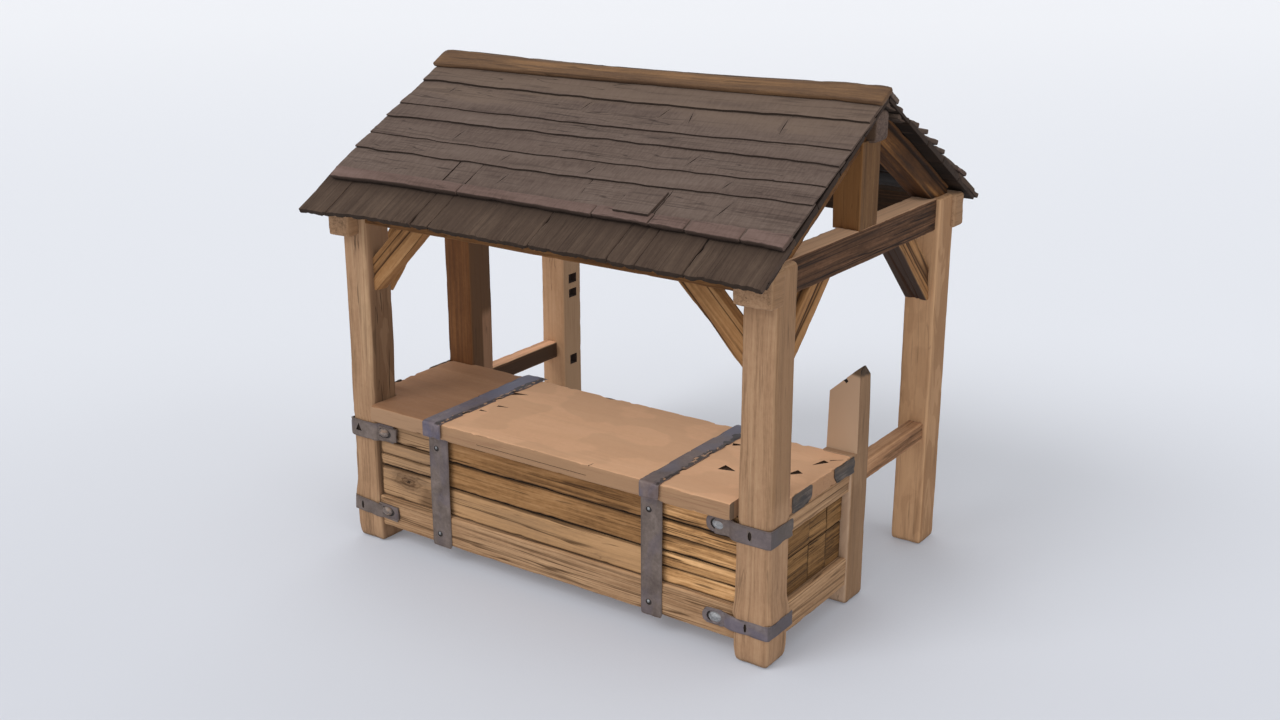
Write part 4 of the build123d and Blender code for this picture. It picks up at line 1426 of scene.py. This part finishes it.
# the courses, from the ridge down: how far down the slope each one's lower edge lies at the left, middle and
# right, how high that edge is over the slope's line, how much higher behind, and how thick its boards are
course_lines = [
    (0.250, 0.234, 0.234), (0.495, 0.474, 0.460), (0.635, 0.594, 0.600), (0.800, 0.788, 0.756),
    (0.950, 0.930, 0.902), (1.212, 1.195, 1.225),
]
course_heights = [0.052, 0.060, 0.066, 0.074, 0.080, 0.084]
rear_rise = [0.010, 0.022, 0.030, 0.032, 0.028, 0.018]
board_thicknesses = [0.020, 0.014, 0.010, 0.011, 0.010, 0.014]
wide_joint = -0.725

# splits in the front slope's boards: x, their ends down the slope, and how far they lean to the right
roof_cracks = [
    (-0.23, 0.25, 0.36, -0.03), (0.31, 0.25, 0.36, -0.03), (0.50, 0.27, 0.38, 0.03),
    (1.09, 0.25, 0.41, 0.02), (-1.256, 0.28, 0.34, -0.02), (-0.9, 0.66, 0.78, -0.02),
    (0.72, 0.62, 0.74, -0.04), (-0.35, 0.97, 1.09, -0.03), (0.16, 0.82, 0.91, -0.03),
    (-0.45, 0.82, 0.90, -0.03), (1.02, 0.80, 0.88, -0.03), (1.10, 0.94, 1.10, -0.05),
]


def slope_frame(side, upper, lower):
    """Middle, up-slope direction, normal and width of a course's top, given (down, height) of its edges."""
    upper = Vector((0, *on_slope(side, *upper)))
    lower = Vector((0, *on_slope(side, *lower)))
    rise = (upper - lower).normalized()
    normal = Vector((-side, 0, 0)).cross(rise)
    return (upper + lower) / 2, rise, normal, (upper - lower).length


def course_board(name, side, x_limits, upper, lower, thickness, finish, line=None, across=False, step=0.014,
                 **wear):
    """A roof board, along the slope or down it.

    line gives how far its lower edge wanders down the slope at the left, middle and right.
    """
    middle, rise, normal, width = slope_frame(side, upper, lower)
    centre = middle - normal * thickness / 2
    centre.x = (x_limits[0] + x_limits[1]) / 2
    length = x_limits[1] - x_limits[0]
    if across:
        piece = worn_block(name, (width, length, thickness), step, finish, **wear)
        return place(piece, directed(centre, rise, normal))
    if line:
        left, mid, right = line
        lean = (right - left) / 2 / roof_half_length
        curve = ((left + right) / 2 - mid) / roof_half_length ** 2
        x = centre.x
        wear["Line"] = (mid + lean * x + curve * x * x, -side * (lean + 2 * curve * x), curve)
    piece = worn_block(name, (length, width, thickness), step, finish, **wear)
    return place(piece, directed(centre, (-side, 0, 0), normal))


def joints(count, spread):
    """Places along the roof where the boards of one course meet."""
    spacing = 2 * roof_half_length / count
    return [-roof_half_length + spacing * (i + dice.uniform(-spread, spread)) for i in range(1, count)]


def boards_between(places):
    """The boards of one course, each as its left and right end."""
    ends = [-roof_half_length, *places, roof_half_length]
    return list(zip(ends, ends[1:]))


def crack_board(board, x, near, far, lean, height):
    """Cuts a crack down a board of the front slope."""
    top = Vector((x - lean / 2, *on_slope(-1, near, height)))
    foot = Vector((x + lean / 2, *on_slope(-1, far, height)))
    normal = (0, -sin(roof_pitch), cos(roof_pitch))
    crack = prism_cutter((top + foot) / 2, normal, foot - top, 4, 0.006, (foot - top).length, 0.03)
    cut_away(board, crack, painted_shade_wood)


def course(side, number, places, **wear):
    """One course of roof boards that meet at the places, lapped under the course above."""
    front = side < 0
    left, base, right = course_lines[number]
    thickness = board_thicknesses[number] + (0 if front else 0.024)
    height = course_heights[number] + (0 if front else rear_rise[number])
    if number:
        above_down = course_lines[number - 1][1]
        above_height = course_heights[number - 1] - thickness + (0 if front else rear_rise[number - 1])
        tuck = 0.06
    else:
        above_down = 0.0
        above_height = course_heights[0] + 0.006 - thickness
        tuck = 0.0
    slope_rate = (height - above_height) / (base - above_down)
    upper = (above_down - tuck, above_height - tuck * slope_rate)
    row = []
    for start, stop in boards_between(places):
        lift = dice.uniform(-0.002, 0.002)
        at_right = dice.uniform(0, 0.006) if front else 0.026
        left_gap = 0.006 if start == wide_joint else 0.001
        right_gap = 0.005 if stop == wide_joint else 0.001
        if start == -roof_half_length:
            left_gap = 0.014 * (1 - number / 5) if front else 0.004
        if stop == roof_half_length:
            right_gap = at_right
        start += left_gap
        stop -= right_gap
        lower = (base, height + lift)
        board = course_board("board", side, (start, stop), upper, lower, thickness, roof_wood,
                             (left - base, 0, right - base), **wear)
        for x, near, far, lean in roof_cracks:
            if front and start < x < stop and above_down < near < far < base:
                crack_board(board, x, near, far, lean, height)
        row.append(board)
    return row


def roof_slope(side, title):
    """Six lapped courses, a lip along the last, short boards down the eave, and a deck under it all."""
    front = side < 0
    board_wear = {
        "Radius": 0.002 if front else 0.012, "Waves": 0.002, "Grooves": 0.0005, "Chips": 0.003,
        "Warp": 0.002, "Ragged_edge": 0.018, "Ragged_end": 0.010 if front else 0.024,
    }
    pieces = []
    for number in range(5):
        pieces += course(side, number, [], **board_wear)
    low_joints = [wide_joint, -0.557, 0.21, 0.735] if front else joints(5, 0.2)
    pieces += course(side, 5, low_joints, **board_wear)

    for start, stop in boards_between([-0.56, 0.38, 0.748, 0.97, 1.30] if front else joints(6, 0.2)):
        lift = dice.uniform(0.004, 0.010)
        upper, lower = (1.122, 0.080 + lift), (1.205, 0.088 + lift)
        pieces.append(course_board("lip", side, (start + 0.002, stop - 0.002), upper, lower, 0.034, lip_wood,
                                   (0.012, 0, 0.028), step=0.011, Radius=0.014, Waves=0.006,
                                   Ragged_edge=0.008, Chips=0.006, Warp=0.003))
    if front:
        pieces.append(course_board("patch", side, (0.50, 0.728), (0.945, 0.080), (1.162, 0.108), 0.016,
                                   roof_wood, step=0.012, Radius=0.004, Waves=0.003, Chips=0.006))

    eaves = boards_between([-1.38, -0.72, -0.59, 0.12, 0.63, 0.81, 1.105] if front else joints(8, 0.3))
    for start, stop in eaves:
        if front and start == -roof_half_length:
            start -= 0.045
        lower = (1.484 - dice.uniform(0, 0.010), 0.060)
        upper = (1.12, 0.052 + dice.uniform(-0.003, 0.003))
        pieces.append(course_board("eave", side, (start + 0.0012, stop - 0.0012), upper, lower, 0.034,
                                   eave_wood, across=True, step=0.011, Radius=0.006, Waves=0.004,
                                   Grooves=0.003, Ragged_end=0.018, Chips=0.012))
    roof_boards = join("roof_boards_" + title, pieces)
    apply_group(roof_boards, settling, {})

    under = []
    deck_limits = (-roof_half_length + 0.008, roof_half_length - 0.006)
    deck_rows = ((0.0, 0.30, 0.020), (0.305, 0.60, 0.028), (0.605, 0.86, 0.036), (0.865, 1.13, 0.042),
                 (1.135, 1.44, 0.026))
    for near, far, top in deck_rows:
        under.append(course_board("deck", side, deck_limits, (near, top), (far, top), top, deck_wood_in_painted_shade,
                                  step=0.02, Waves=0.004, Chips=0.006, Radius=0.003))
    deck = join("roof_deck_" + title, under)
    apply_group(deck, settling, {})
    hand_over(join("roof_slope_" + title, [roof_boards, deck]), "roof_" + title)


roof_slope(-1, "front")
roof_slope(1, "rear")

cap = []
for side, finish, right_end, upper, lower in (
    (-1, cap_wood, roof_half_length + 0.010, (-0.036, 0.072), (0.112, 0.076)),
    (1, grey_cap_wood, roof_half_length - 0.018, (-0.040, 0.072), (0.150, 0.070)),
):
    cap.append(course_board("cap", side, (-roof_half_length, right_end), upper, lower, 0.034, finish,
                            (0.004, -0.036, -0.010), step=0.010, Radius=0.010, Waves=0.003,
                            Ragged_edge=0.006, Warp=0.002))
piece = join("ridge_cap_boards", cap)
apply_group(piece, settling, {})
hand_over(piece, "ridge_cap")


# ---- Camera ----

camera = bpy.data.objects.new("camera", bpy.data.cameras.new("camera"))
bpy.context.scene.collection.objects.link(camera)
camera.location = (5.0738, -7.3298, 4.1632)
camera.rotation_euler = (radians(90 - 18.512), 0, radians(34.969))
camera.data.lens = 42.817
bpy.context.scene.camera = camera
bpy.context.scene.view_settings.view_transform = "Standard"


# ---- Floor and light ----

def studio():
    bpy.ops.object.select_all(action="DESELECT")
    bpy.ops.mesh.primitive_plane_add(size=160, location=(0, 0, 0))
    floor = bpy.context.object
    floor.name = "floor"
    material, graph, surface = new_finish("floor")
    x, y, z = somewhere(graph)
    depth = -0.573 * x + 0.819 * y
    colour = graph.mix(depth.rise(-2.5, 4.5), paint(213, 216, 224), paint(226, 229, 236))
    colour = graph.mix(depth.rise(3, 34), colour, paint(237, 239, 244))
    # painted shadow: the floor is darker and bluer where the object stands within 1.4 m
    colour = graph.mix(graph.openness(1.4, 8).rise(0.98, 0.55) * 0.30, colour, paint(166, 172, 186))
    wire(graph, surface, {"Base Color": colour, "Roughness": 1.0, "Specular IOR Level": 0.0})
    floor.data.materials.append(material)
    floor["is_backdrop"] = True

    world = bpy.data.worlds.new("studio")
    bpy.context.scene.world = world
    world.use_nodes = True
    background = world.node_tree.nodes["Background"]
    background.inputs["Color"].default_value = (1, 1, 1, 1)
    background.inputs["Strength"].default_value = 0.33
    lamps = (
        ("key", (-0.30, -0.68, 0.67), 0.36, 34, True),
        ("front_fill", (0.15, -0.90, 0.40), 0.25, 60, False),
        ("top_fill", (0.10, -0.10, 0.99), 0.20, 60, False),
        ("right_fill", (0.95, 0.10, 0.30), 0.22, 60, False),
        ("back_fill", (-0.50, 0.80, 0.40), 0.24, 60, False),
    )
    for name, direction, level, softness, shadow in lamps:
        sun = bpy.data.lights.new(name, "SUN")
        sun.energy = level * pi
        sun.angle = radians(softness)
        sun.use_shadow = shadow
        lamp = bpy.data.objects.new(name, sun)
        bpy.context.scene.collection.objects.link(lamp)
        lamp.rotation_euler = Vector(direction).to_track_quat("Z", "Y").to_euler()


studio()

box = [list(map(float, corner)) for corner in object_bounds()]
